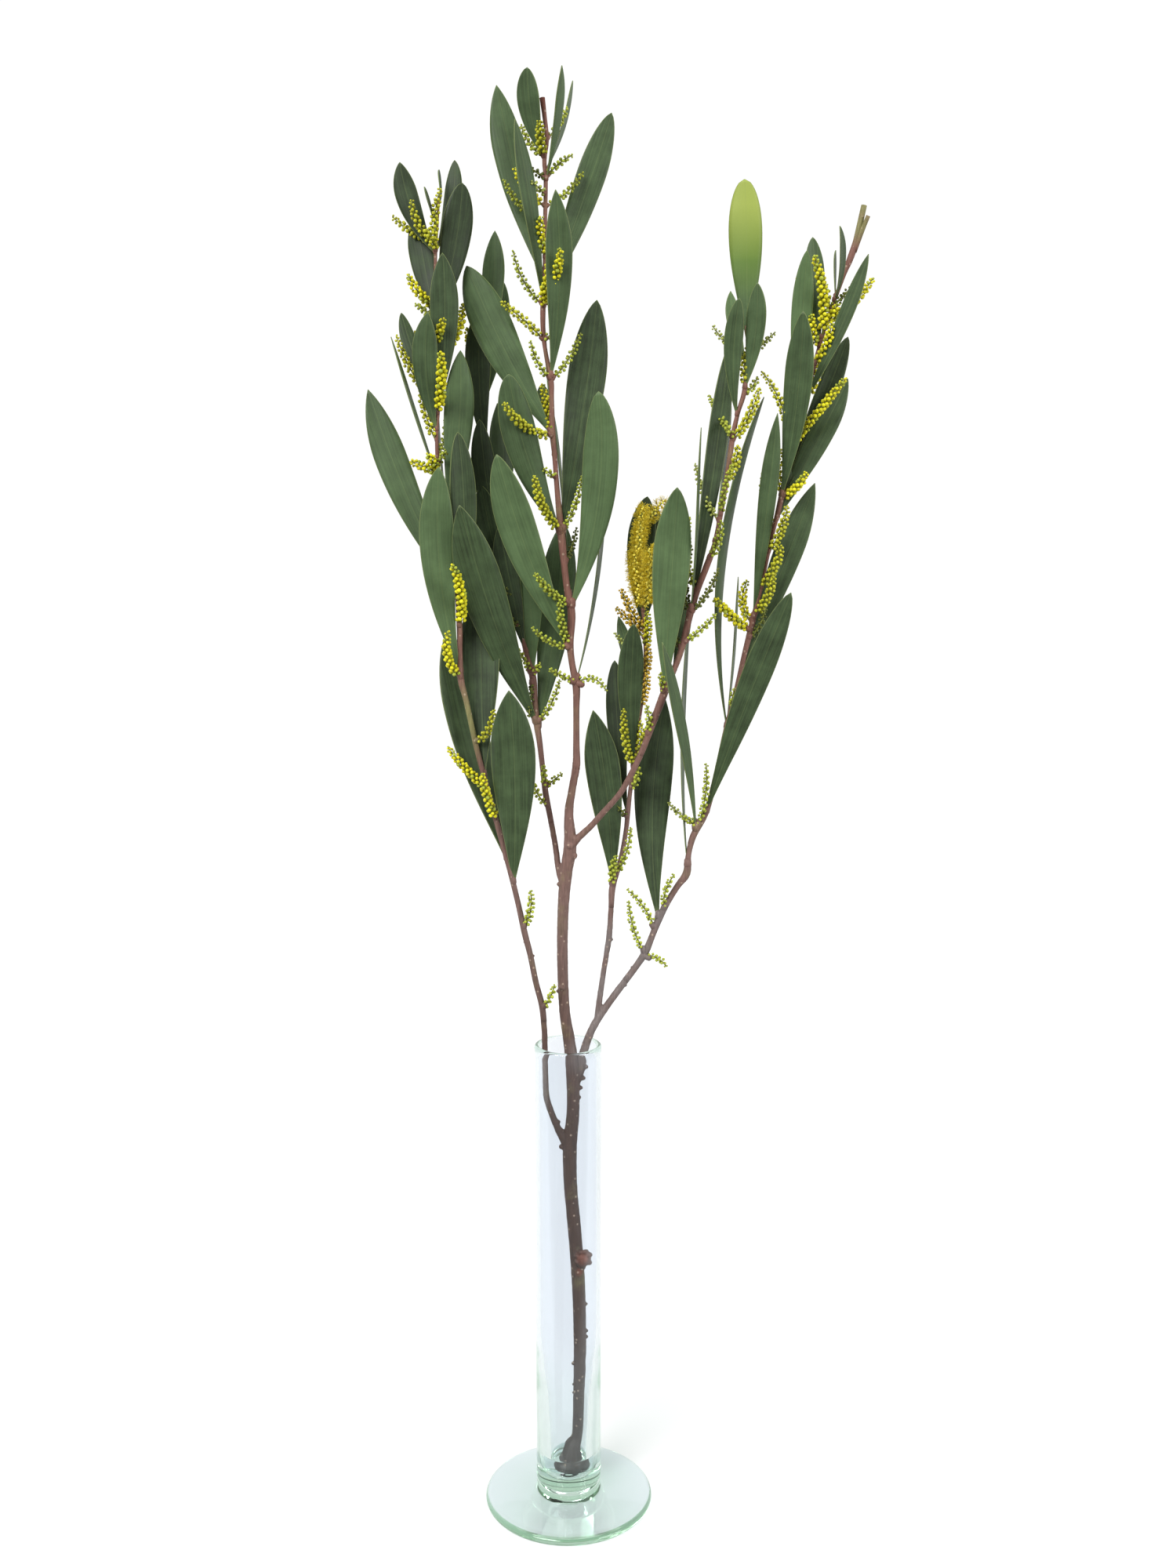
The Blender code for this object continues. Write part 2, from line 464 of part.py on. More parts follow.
def leaf_solid(name, leaf, stations, collection):
    """A thin blade from its shoot to its tip, turned about its midline."""
    root = station_at(stations, leaf.height).place
    tip = seen(leaf.tip_x, leaf.tip_z, leaf.depth)
    shape = bmesh.new()
    bmesh.ops.create_grid(shape, x_segments=1, y_segments=len(LEAF_STATIONS) - 1, size=0.5)
    for vertex in shape.verts:
        side = 1 if vertex.co.x > 0 else -1
        t = LEAF_STATIONS[round((vertex.co.y + 0.5) * (len(LEAF_STATIONS) - 1))]
        middle = bowed(root, tip, leaf.bow, t)
        along = (bowed(root, tip, leaf.bow, t + 0.01) - bowed(root, tip, leaf.bow, t - 0.01)).normalized()
        across = along.cross(EYE * MM - middle).normalized()
        across = Matrix.Rotation(math.radians(leaf.turn + leaf.twist * t), 3, along) @ across
        vertex.co = middle + across * (side * leaf.width * MM / 2 * outline_share(t))
    bmesh.ops.triangulate(shape, faces=shape.faces)
    mesh = bpy.data.meshes.new(name)
    shape.to_mesh(mesh)
    shape.free()
    item = place_mesh(name, mesh, collection)
    shell = item.modifiers.new("thickness", "SOLIDIFY")
    shell.thickness = LEAF_THICKNESS * MM
    shell.offset = 0.0
    return as_mesh(item)


def spike_solid(name, spike, stations, collection):
    """A four-sided rod rolled from a grid, whose corners reach out as buds on every second turn."""
    root = station_at(stations, spike.height).place
    tip = seen(spike.tip_x, spike.tip_z, spike.depth)
    scale = OPEN_SCALE if spike.open else 1.0
    rings = max(4, round((tip - root).length / (BUD_PITCH * MM * scale)))
    shape = bmesh.new()
    bmesh.ops.create_grid(shape, x_segments=4, y_segments=rings, size=0.5)
    for vertex in shape.verts:
        corner = round((vertex.co.x + 0.5) * 4) % 4
        ring = round((vertex.co.y + 0.5) * rings)
        t = ring / rings
        middle = bowed(root, tip, spike.bow, t)
        along = (bowed(root, tip, spike.bow, t + 0.01) - bowed(root, tip, spike.bow, t - 0.01)).normalized()
        across = along.cross(EYE * MM - middle).normalized()
        reach = BUD_REACH if (corner + ring) % 2 else CORE_RADIUS
        reach *= scale * min(1.0, 0.55 + 0.9 * (1 - t))
        if ring <= 1 or ring == rings:
            reach = STALK_RADIUS
        outward = Matrix.Rotation(math.radians(45 + 90 * corner), 3, along) @ across
        vertex.co = middle + outward * (reach * MM)
    bmesh.ops.remove_doubles(shape, verts=shape.verts, dist=0.001 * MM)
    bmesh.ops.holes_fill(shape, edges=shape.edges)
    bmesh.ops.triangulate(shape, faces=shape.faces)
    bmesh.ops.recalc_face_normals(shape, faces=shape.faces)
    mesh = bpy.data.meshes.new(name)
    shape.to_mesh(mesh)
    shape.free()
    return place_mesh(name, mesh, collection)


def build_vase(collection, material):
    vase = turned("vase", vase_profile(), VASE_STEPS, collection)
    vase.data.materials.append(material)
    return vase


def build_water(collection, cutters, material):
    """Water in the bottom of the cavity, with a plain hole for the stem."""
    water = turned("water", water_profile(), WATER_STEPS, collection)
    stem = [item for item in smoothed(CENTRE_ROUTE) if item.height < WATER_TOP + 20]
    below = stem[0].place.lerp(stem[1].place, -GAP * MM / (stem[1].place - stem[0].place).length)
    cutter = tube("stem_hole", [stem[0]._replace(place=below), *stem], TRUNK_SIDES, cutters, spare=GAP + 0.1)
    cutter.hide_render = True
    cutter.display_type = "WIRE"
    solid = boolean(water, cutter, "DIFFERENCE", "EXACT")
    solid.data.materials.append(material)
    return solid


def build_branch(collection, routes, material):
    """The bare wood: the trunk with its heel and knot, and the foot of every side shoot."""
    trunk = tube("branch", cut_route(routes[CENTRE.name], CENTRE_ROUTE[0][1], CENTRE.butt), TRUNK_SIDES,
                 collection)
    forks = new_collection("branch forks")
    for shoot in SHOOTS[1:]:
        stations = cut_route(routes[shoot.name], shoot.route[0][1], shoot.butt)
        tube("foot of " + shoot.name, stations, SHOOT_SIDES, forks)
    knot = bpy.data.meshes.new("knot")
    shape = bmesh.new()
    bmesh.ops.create_icosphere(shape, subdivisions=1, radius=KNOT_RADIUS * MM)
    bmesh.ops.translate(shape, verts=shape.verts, vec=seen(*KNOT_PLACE))
    shape.to_mesh(knot)
    shape.free()
    place_mesh("knot", knot, forks)
    branch = fuse(trunk, forks)
    branch.data.materials.append(material)
    return branch


def build_shoot(shoot, stations, collection, material):
    """A leafy shoot: its wood with every leaf and flower spike fused on."""
    wood_route = cut_route(stations, shoot.butt + BUTT_GAP, shoot.route[-1][1])
    wood = tube(shoot.name, wood_route, SHOOT_SIDES, collection)
    repeats = new_collection(shoot.name + " growth")
    for number, leaf in enumerate(shoot.leaves):
        leaf_solid(f"{shoot.name} leaf {number}", leaf, stations, repeats)
    for number, spike in enumerate(shoot.spikes):
        spike_solid(f"{shoot.name} spike {number}", spike, stations, repeats)
    solid = fuse(wood, repeats)
    solid.data.materials.append(material)
    return solid


def main():
    clear_scene()
    parts = new_collection("mimosa in vase")
    cutters = new_collection("cutters")
    glass = surface("glass", (0.72, 0.86, 0.78), 0.02, transmission=1.0)
    clear_water = surface("water", (0.85, 0.93, 0.88), 0.0, transmission=1.0)
    bark = surface("bark", (0.19, 0.09, 0.06), 0.75)
    foliage = surface("foliage", (0.07, 0.14, 0.06), 0.55)
    routes = {shoot.name: smoothed(shoot.route) for shoot in SHOOTS}
    build_vase(parts, glass)
    build_water(parts, cutters, clear_water)
    build_branch(parts, routes, bark)
    for shoot in SHOOTS:
        build_shoot(shoot, routes[shoot.name], parts, foliage)


main()
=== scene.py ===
"""Long-leaved wattle branch, in bud, standing in a footed glass bud vase: its fine pieces and finishes.

Metres, +Z up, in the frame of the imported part; the front of the vase faces -Y. Each kind of piece has an
operator, and main() calls them in turn.
"""

import math
import random
from collections import namedtuple

import bmesh
import bpy
import numpy as np
from bpy.props import FloatProperty, FloatVectorProperty, PointerProperty
from mathutils import Matrix, Vector


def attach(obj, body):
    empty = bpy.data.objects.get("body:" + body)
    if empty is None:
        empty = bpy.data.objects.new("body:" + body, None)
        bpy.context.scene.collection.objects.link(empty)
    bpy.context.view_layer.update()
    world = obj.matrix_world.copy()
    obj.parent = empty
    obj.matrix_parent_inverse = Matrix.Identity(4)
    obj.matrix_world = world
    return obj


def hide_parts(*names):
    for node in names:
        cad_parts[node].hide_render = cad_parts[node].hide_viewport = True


bl_info = {
    "name": "Wattle branch in a glass bud vase",
    "version": (1, 0, 0),
    "blender": (4, 5, 0),
    "location": "3D View > Sidebar > Wattle",
    "description": "Leaves, buds, bark and glass for a cut wattle branch in its vase",
    "category": "Add Mesh",
}

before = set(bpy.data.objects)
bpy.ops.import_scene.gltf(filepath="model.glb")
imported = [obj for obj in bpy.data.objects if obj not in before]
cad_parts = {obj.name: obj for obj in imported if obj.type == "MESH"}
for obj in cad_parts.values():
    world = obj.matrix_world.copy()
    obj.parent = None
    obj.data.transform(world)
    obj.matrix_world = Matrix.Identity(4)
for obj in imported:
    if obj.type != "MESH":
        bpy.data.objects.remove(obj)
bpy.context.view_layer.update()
BODY = "root"
MM = 0.001

# Vase: an upright tube on a round foot, with its cavity narrowing to a rounded bottom (millimetres)
VASE_HEIGHT = 292.0
TUBE_RADIUS = 20.0
WALL = 2.8
CAVITY_RADIUS = TUBE_RADIUS - WALL
CAVITY_FLOOR = 18.2
CAVITY = ((8.0, 18.6), (10.0, 20.8), (11.0, 28.0), (11.3, 40.0), (13.0, 66.0), (15.8, 92.0))
CAVITY_STRAIGHT_FROM = 128.0
LIP_SWELL = 0.7
LIP_LENGTH = 4.0
FOOT_RADIUS = 51.5
FOOT_THICKNESS = 5.0
FOOT_RISE = 8.8
BEAD_RADIUS = 19.5
BEAD_TOP = 14.2
# Outlines, out from the bead's radius: the bead, up from its top, and its neck, up from the foot's rise
BEAD = ((0.5, 2.0), (0.4, 1.0), (-0.6, 0.2), (-0.9, -0.2), (-0.6, -0.6), (0.0, -1.5), (0.2, -3.0))
NECK = ((-0.1, 0.5), (0.5, -0.1), (1.4, -0.4))
# The sloping top of the foot: radius and height at its inner and outer end, and the radii of points between
FOOT_SLOPE = (BEAD_RADIUS + 2.0, FOOT_RISE - 0.6), (FOOT_RADIUS - 6.5, FOOT_THICKNESS + 0.25)
FOOT_SLOPE_POINTS = (BEAD_RADIUS + 2.6, 30.0, 38.0)
CAVITY_STEP = 4.0
SPIN_STEPS = 96

# Water: its level, its edge as places in from the wall and up from that level, and how far it bites into
# the glass
WATER_TOP = 30.5
WATER_EDGE = ((3.0, 0.0), (1.5, 0.096), (0.6, 0.36), (0.0, 0.8))
WATER_OVERLAP = 0.06
EDGE_OVERLAP = 0.05
WATER_STEP = 2.0

# How strongly glass and water bend light, how many times they throw it about inside before it leaks out, and
# the angle in degrees over which their edges stay sharp
GLASS_IOR = 1.5
WATER_IOR = 1.33
LEAK_DEPTH = 4
CREASE_ANGLE = 50
# Points nearer to each other than this, in millimetres, are merged into one
DOUBLED = 0.01
# Step to either side, as a share of a curve's length, over which its direction is read
LOOK_ALONG = 0.01

# Places on the plant are read in the upright plane through the vase's axis, as seen from this eye point,
# and are then set back (+) or forward (-) by their depth. Heights there count from BOARD_ZERO.
EYE = Vector((12.0, -879.0, 568.2))
BOARD_ZERO = -2.4

# Wood: the spacing of points along it, the roundness of its rods, how far bare and leafy wood overlap, the
# size of its grain, and the heights in metres over which the older bark, dark also as painted shade for the
# wood inside the vase, turns to new and new bark to a shoot's
ROUTE_STEP = 2.5
TRUNK_RESOLUTION = 4
TWIG_RESOLUTION = 3
STALK_RESOLUTION = 1
BUTT_OVERLAP = 2.5
GRAIN = 3.5 * MM
NEW_BARK = (0.24, 0.38)
SHOOT_BARK = (0.36, 0.56)
# How far above the water the wood starts to darken, as wet wood and as painted shade for the wood inside
# the vase, and where it is wet through
WET_AND_SHADE_REACH = 110.0
WET_THROUGH = 4.0
# Bumps on the wood: how far they are flattened, and how uneven they are as a share of their radius
BUMP_FLATTENED = 0.85
BUMP_UNEVEN = 0.12
# Cushions of bark under leaves and under spikes: their size against the wood's radius with what is added in
# millimetres, how far out they sit, and where and how far their outer part is drawn out
LEAF_CUSHION = 1.05
SPIKE_CUSHION = 0.9
CUSHION_ADDED = 0.15
CUSHION_OUT = 0.75
CUSHION_DRAWN_FROM = 0.1
CUSHION_DRAWN = 0.8

# Leaf blades: rows along and faces across the blank, and its outline as shares of its length and width
LEAF_ROWS = 30
LEAF_ACROSS = 8
ROW_CROWDING = 0.45
WIDEST = 0.68
STALK_SHARE = 0.07
TIP_SHARE = 0.02
TAPER_POWER = 1.25
BLUNT = 0.5
POINTED = (0.6, 0.95)
# How blades differ: share of the full cup, ripples along a margin, sway in millimetres, curl in degrees, tone
CUPPED = (0.3, 1.0)
RIPPLES = (1.5, 3.2)
SWAY = 1.2
CURL = 9
TONE_SPREAD = 0.05
# Half waves of the sway along a blade, and the share of the way at which it would have died out
SWAY_BENDS = 1.5
SWAY_END = 1.2
# Width in millimetres of a blade with full ripples
RIPPLED_WIDTH = 20
# The stretch of a young blade over which it turns soft, and the power with which it does
SOFT_FROM = 0.25
SOFT_LENGTH = 0.6
SOFT_POWER = 0.9
# The numbers that each point of a blade carries for its finish
LEAF_NUMBERS = ("side", "half_mm", "along_mm", "tone", "young", "seed")
# The paler nerves: place across the blade, half width in millimetres and strength
PALE_NERVES = ((0.06, 0.3, 0.17), (-0.44, 0.2, 0.04), (0.5, 0.2, 0.04))

# Flower spikes: the bare share of the stalk, and how buds differ in turn, lean, size and reach
GOLDEN_ANGLE = math.radians(137.508)
STALK_BARE = 0.1
BUD_TURN = 0.15
BUD_LEAN = (0.25, 0.5)
BUD_SIZES = (0.86, 1.1)
BUD_REACHES = (0.92, 1.05)
BUD_SHADES = (0.8, 1.15)
FEWEST_BUDS = 5
# Buds are smaller at both ends of a spike: their share of the full size there, and how fast it grows inwards
TIP_BUDS = (0.6, 1.2)
FOOT_BUDS = (0.75, 2.0)
# The share of the way from which buds sit on the end of the stalk, and how far out, as a share of their size
STALK_END = 0.97
STALK_END_OUT = 0.2
# Share of unripe buds along a spike, how much larger it is towards the tip, and where the tip starts
UNRIPE = 0.12
UNRIPE_TIP = 0.3
TIP_FROM = 0.85
# Radius of a stalk at its foot and how much it loses by its tip, in millimetres, and its place on the
# buds' painted shade and light
STALK_RADIUS = 0.62
STALK_TAPER = 0.25
STALK_STEP = 4.0
STALK_SHADE = 0.3
# Open flowers: threads in each, how far they spread, how their lengths differ, and the share that has dropped
FLORET_THREADS = 26
THREAD_SPREAD = 0.42
THREAD_LENGTHS = (0.75, 1.1)
DROPPED = 0.1
# How far out of their bud the threads start, as a share of its size
THREADS_OUT = 0.2

# Stage: the camera, the two soft lights, and where the light of the room and the floor's white are graded
CAMERA_DIP = 7.7
CAMERA_LENS = 34.76
CAMERA_SENSOR = 36.0
KEY_PLACE = Vector((-1.0, -1.7, 1.45))
FILL_PLACE = Vector((1.7, -1.2, 0.45))
LIGHT_SPREAD = 32
ROOM_GRADE = (-0.5, 0.35)
FLOOR_GRADE = (-0.24, -0.09)

# A leaf's share of light green over deep green is partly its own tone and partly painted light and shade,
# given for how the light falls on that blade
Leaf = namedtuple("Leaf", "height tip_x tip_z depth width turn bow tone twist young", defaults=(0, 0))
Spike = namedtuple("Spike", "height tip_x tip_z depth bow kind")
SpikeKind = namedtuple("SpikeKind", "colour bud reach per_mm shade")
Shoot = namedtuple("Shoot", "name route butt leaves spikes")
Station = namedtuple("Station", "place radius height")

# Routes: x, height, depth and radius of the wood, in millimetres
CENTRE_ROUTE = (
    (1.2, 24, 1.2, 7.0), (1.4, 27.5, 1.5, 7.9), (1.8, 31, 1.6, 6.9), (2.2, 35, 2, 6.0), (2.8, 38.6, 2.6, 5.4),
    (4.8, 42, 4, 4.1), (5.9, 46.5, 4.3, 3.8), (6.5, 56, 4, 3.9), (7, 80, 2.5, 4.0), (7, 110, 1, 4.0),
    (6, 145, 0, 4.1), (4, 175, 0, 4.1), (1.5, 205, 0, 4.1), (1, 230, 0, 4.3), (3, 255, 0, 3.9),
    (2.5, 280, 0, 4.0), (0.5, 298, 0, 3.6), (-2, 315, 0, 3.3), (-3.2, 345, 1, 3.3), (-2.8, 375, 1, 3.4),
    (-1, 398, 1, 3.7), (1.5, 415, 0, 3.9), (0.8, 435, 0, 2.7), (3.2, 451, 0, 2.3), (5.2, 463, 0, 2.4),
    (5.2, 475, 0, 2.0), (5.2, 495, -1, 1.9), (5.2, 509, -1, 2.3), (2.8, 522, -1, 1.95), (1.6, 534, -2, 2.2),
    (2.5, 551, -2, 2.4), (0, 565, -2, 2.0), (-1.8, 580, -3, 2.0), (-3.2, 595, -3, 2.3), (-5.5, 620, -3, 1.6),
    (-7, 640, -4, 1.5), (-8.3, 655, -4, 1.8), (-8.6, 672, -4, 1.45), (-9, 682, -4, 1.7),
    (-11.8, 697, -4, 1.25), (-13.2, 708, -4, 1.4), (-13.3, 722, -4, 1.6), (-12.3, 740, -4, 1.25),
    (-12, 765, -4, 1.2), (-11.5, 790, -4, 1.25), (-12.2, 801, -4, 1.3), (-10.8, 812, -4, 1.25),
    (-12, 824, -4, 1.3), (-13.3, 834, -4, 1.6),
)
LEFT_LOW_ROUTE = (
    (-1, 232, 0, 2.6), (-5.5, 241, -1, 2.2), (-9.5, 251, -1, 2.0), (-12.8, 262, -1.5, 1.9),
    (-13.4, 275, -2, 1.8), (-13.8, 290, -2, 1.8), (-14.2, 304, -3, 1.8), (-15.5, 318, -4, 1.9),
    (-19, 332, -5, 1.8), (-22.3, 349, -7, 1.8), (-25.5, 362, -8, 1.9), (-29.3, 380, -9, 1.7),
    (-33.5, 398, -10, 1.7), (-38.2, 416, -11, 1.7), (-43, 434, -11, 1.6), (-48.5, 455, -12, 1.6),
    (-53.5, 475, -12, 1.6), (-58.7, 500, -12, 1.6), (-61.8, 513, -12, 1.9), (-62.2, 528, -12, 1.6),
    (-62.3, 545, -12, 1.7), (-64, 570, -12, 1.4), (-68.5, 600, -11, 1.3), (-73, 630, -10, 1.2),
    (-74, 650, -10, 1.0), (-72.8, 668, -9, 1.1), (-72.3, 690, -8, 0.95), (-73, 715, -8, 0.95),
    (-73.5, 735, -8, 0.9), (-73.2, 752, -8, 0.95), (-72, 768, -8, 0.8), (-71, 782, -8, 0.75),
)
LEFT_BACK_ROUTE = (
    (-2, 390, 1, 2.2), (-5.2, 400, 2.5, 1.9), (-7.2, 415, 5, 1.8), (-10, 431, 7, 1.75), (-12.8, 446, 9, 1.9),
    (-14.3, 459, 10, 1.7), (-16.2, 476, 11, 1.8), (-17.8, 487, 12, 2.1), (-19, 500, 13, 1.9),
    (-20, 514, 14, 2.2), (-23.5, 527, 15, 1.5), (-27.5, 543, 17, 1.5), (-32, 557, 19, 1.5),
    (-37, 577, 21, 1.4), (-42, 605, 24, 1.3), (-45.5, 640, 26, 1.2), (-46.5, 670, 28, 1.1),
    (-45, 700, 29, 1.0), (-43, 722, 30, 0.9),
)
MIDDLE_ROUTE = (
    (1, 413, 0, 2.6), (6, 419.5, -2, 2.2), (13, 426, -4, 1.9), (22, 436, -7, 1.8), (31, 446.5, -10, 1.8),
    (38.5, 460, -12, 1.8), (43.5, 471, -13, 1.8), (48.5, 484, -14, 1.9), (55.5, 503, -15, 2.3),
    (60, 514, -15, 1.8), (66, 530, -15, 1.8), (70.5, 549, -15, 2.0), (75, 564, -15, 1.7),
    (80.5, 579, -15, 1.9), (84.5, 590, -15, 1.5), (88, 608, -14, 1.4), (91.8, 632, -13, 1.5),
    (94.3, 651, -12, 1.5), (97, 664, -11, 1.25), (100.3, 675, -10, 1.4), (101.8, 690, -9, 1.0),
    (102, 700, -9, 0.9), (100.9, 712, -9, 0.8),
)
RIGHT_ROUTE = (
    (3.5, 268, 1, 2.8), (7.5, 280, 2, 2.9), (9.5, 290, 3, 2.6), (13.3, 301, 4, 2.4), (18.5, 311, 6, 2.4),
    (25, 320.5, 8, 2.2), (32.5, 331, 10, 2.1), (40.5, 342, 12, 2.0), (46.2, 351, 13, 2.2),
    (50.2, 361, 14, 1.9), (53.8, 370.5, 15, 2.2), (59, 381, 15, 1.9), (65, 391, 15, 1.9),
    (70.2, 398.5, 15, 2.4), (71.3, 410, 15, 1.7), (74, 421, 15, 2.0), (80, 432, 15, 1.9),
    (83.5, 442, 15, 1.7), (88, 462, 16, 1.6), (93, 485, 16, 1.8), (98.5, 508, 16, 1.6), (102, 525, 15, 1.5),
    (105.8, 541, 15, 1.8), (108.5, 553, 14, 1.5), (112, 569, 13, 1.4), (115, 585, 12, 1.5),
    (118.5, 600, 12, 1.3), (122, 615, 11, 1.7), (124.5, 630, 11, 1.25), (127, 645, 10, 1.3),
    (131.5, 662, 10, 1.2), (137, 680, 9, 1.3), (141.5, 697, 9, 1.2), (146, 713, 8, 1.1),
    (150.5, 726, 8, 1.15), (155.5, 740, 8, 1.25), (158.2, 747, 8, 1.8), (160.5, 753.5, 8, 1.9),
    (161.8, 758, 8, 1.75), (163.5, 766, 8, 1.7), (165.8, 777, 8, 1.65),
)
SHORT_ROUTE = (
    (17.5, 309, 6, 2.0), (18.4, 318, 7, 1.9), (20, 330, 8, 1.75), (22.2, 345, 9, 1.7), (24.5, 360, 10, 1.85),
    (25.7, 378, 11, 1.65), (26.6, 391, 12, 2.0), (31.3, 407, 13, 1.5), (34.3, 424, 13, 1.4),
    (35.3, 434, 13, 1.5), (36.8, 448, 13, 1.3), (38.6, 462, 13, 1.5), (40.5, 480, 13, 1.2),
    (43, 500, 12, 1.3), (45, 518, 12, 1.1), (45, 538, 11, 1.1), (43.5, 555, 11, 1.1),
)
# The second of the two cut ends at the top of the right shoot
STUB_ROUTE = ((160.8, 752, 8, 1.5), (163.6, 760, 7, 1.5), (166.4, 767, 6, 1.3), (168.3, 771.5, 5, 1.2))

CENTRE = Shoot(
    "centre_shoot", CENTRE_ROUTE, 463,
    leaves=(
        Leaf(736, -38.5, 840.5, 14, 18, 10, -2, 0.5), Leaf(802, -21.5, 850, -14, 12.5, -15, -3, 0.5),
        Leaf(724, -28.5, 823, -22, 11, 38, 1, 0.45), Leaf(790, -2.5, 851, -34, 9, 62, 2, 0.6),
        Leaf(795, 3.7, 843, 24, 8, 72, 2, 0.5), Leaf(723, 25, 826, 20, 16.5, 5, 1, 0.35),
        Leaf(683, -6, 785.5, -28, 15, 10, 3, 0.5), Leaf(652, -56, 744.5, 2, 23, -10, -3, 0.55),
        Leaf(596, 17, 726, 14, 22, 10, 1, 0.12), Leaf(554, 18, 676, -24, 20.5, -10, 7, 0.75),
        Leaf(596, -33, 685.5, -24, 19.5, 8, -5, 0.4), Leaf(531, -40, 641, -26, 21.5, -6, -4, 0.75),
        Leaf(652, -14, 680, 14, 8, 0, -1, 0.3), Leaf(511, 21, 642, 36, 12, 78, 5, 0.5),
        Leaf(640, -13.2, 725, 46, 15, 88, 0, 0.3), Leaf(560, -8.4, 668, 44, 17, 88, 1, 0.3),
    ),
    spikes=(
        Spike(812, 0.5, 829, 6, 1, "green"), Spike(802, -14.5, 822, -14, -1, "gold_green_thick"),
        Spike(802, -25, 820, 4, -2, "green"), Spike(792, 3.5, 804, -10, -1, "green"),
        Spike(791, -20, 797, -10, 0, "dark"), Spike(783, -19.5, 790, -15, 0, "pale"),
        Spike(776, 9.5, 795, 8, 2, "green"), Spike(776, -28.5, 797, -5, -2, "gold"),
        Spike(767, -35, 791, -6, -3, "green"), Spike(748, -14.5, 771, -12, -1, "gold"),
        Spike(723, -3.5, 754, -28, 2, "gold"), Spike(728, -10, 748, -14, 1, "gold"),
        Spike(723, -30, 753, -10, -3, "green"), Spike(723, -12, 735, -16, 0, "gold"),
        Spike(722, -7, 735, 8, 1, "green"), Spike(704, -37, 725, -12, 1, "gold_green"),
        Spike(704, -6.5, 709, -8, 0, "green"), Spike(682, -20.5, 704, -14, -2, "green"),
        Spike(682, 8, 708, 1, 2, "green"), Spike(651, -35.5, 669.5, -34, -4, "gold_green_thick"),
        Spike(652, -14, 680, 2, 0, "dark_gold"), Spike(628, -13.5, 633, -10, 0, "green"),
        Spike(597, -18.5, 629, -30, -3, "gold_green_thick"), Spike(597, 8.5, 629, -10, 2, "green"),
        Spike(579, 5.5, 600, 8, 1, "dark"), Spike(556, -18.5, 574, -26, -2, "green_thick"),
        Spike(532, -4, 559, -14, -2, "green_thick"), Spike(531, -20.5, 543, -18, -2, "green"),
        Spike(511, -10.5, 519, -14, 0, "green"), Spike(511, 23, 506, -10, -5, "green"),
    ),
)
LEFT_LOW = Shoot(
    "left_low_shoot", LEFT_LOW_ROUTE, 309,
    leaves=(
        Leaf(392, -34, 506.5, -36, 25.5, -8, 1.5, 0.3), Leaf(406, -69, 542, 14, 24, 15, -3, 0.2),
        Leaf(456, -50, 566, 4, 23, -8, -1, 0.08), Leaf(516, -73, 634, -26, 19.5, 5, -6, 0.7),
        Leaf(560, -112.5, 677, 2, 18.5, 0, -4, 0.55), Leaf(622, -99, 706, -20, 9, 78, -1, 0.5),
        Leaf(602, -60, 698.5, -6, 17, 8, 2, 0.58), Leaf(548, -62, 653.5, -22, 15, 12, 3, 0.1),
        Leaf(654, -78, 719.5, -22, 14, -8, -4, 0.4), Leaf(666, -93, 719, 8, 9, 5, -2, 0.2),
        Leaf(667, -69.5, 751.5, -16, 16, 5, 2, 0.22), Leaf(713, -84, 770, 0, 14, -10, -1, 0.12),
        Leaf(751, -92.5, 800, -8, 12.5, 0, -3.5, 0.06), Leaf(752, -62, 801, 12, 9.5, -10, 3, 0.12),
        Leaf(714, -58, 789, -2, 17, 10, 2, 0), Leaf(766, -79, 787, -22, 7, 80, -1, 0.35),
        Leaf(776, -70.5, 796, 2, 7, 78, 1, 0.35), Leaf(517, -66.5, 598, 34, 17, 86, 0, 0.2),
        Leaf(601, -74.5, 684, 32, 14, 84, 0, 0.2),
    ),
    spikes=(
        Spike(316, -8, 331, -10, 1, "green"), Spike(365, -22, 388, -16, 2, "green_thick"),
        Spike(430, -50, 458, -28, -1, "gold"), Spike(449, -70, 473.5, -10, -1, "gold"),
        Spike(476, -43, 495, -28, 3, "gold_green"), Spike(513, -68.5, 541, -26, -4, "gold"),
        Spike(543, -66, 579, -38, 3, "gold_big"), Spike(631, -89, 637, -14, 0, "gold"),
        Spike(632, -79, 641, -20, 0, "gold"), Spike(636, -68.5, 643, -18, 0, "green"),
        Spike(648, -82.5, 681, -10, -2, "gold_green"), Spike(668, -96, 707, -10, -3, "gold_green"),
        Spike(640, -69, 661, -4, 2, "green"), Spike(663, -71, 698, -32, 1, "gold_big"),
        Spike(700, -69, 716, -20, -1, "dark_gold"), Spike(683, -85.5, 709, 10, -2, "dark_gold"),
        Spike(695, -58.5, 724, 10, 4, "gold"), Spike(722, -89, 740, -12, -2, "gold"),
        Spike(715, -85, 724, 6, 0, "green"), Spike(735, -60.5, 742, 12, 0, "gold"),
        Spike(752, -70, 786, -18, -2, "gold_green"), Spike(756, -86.5, 780, -15, -3, "gold_green"),
        Spike(758, -97, 771, 4, -2, "gold_green"), Spike(752, -77, 765, -18, 0, "gold_green"),
    ),
)
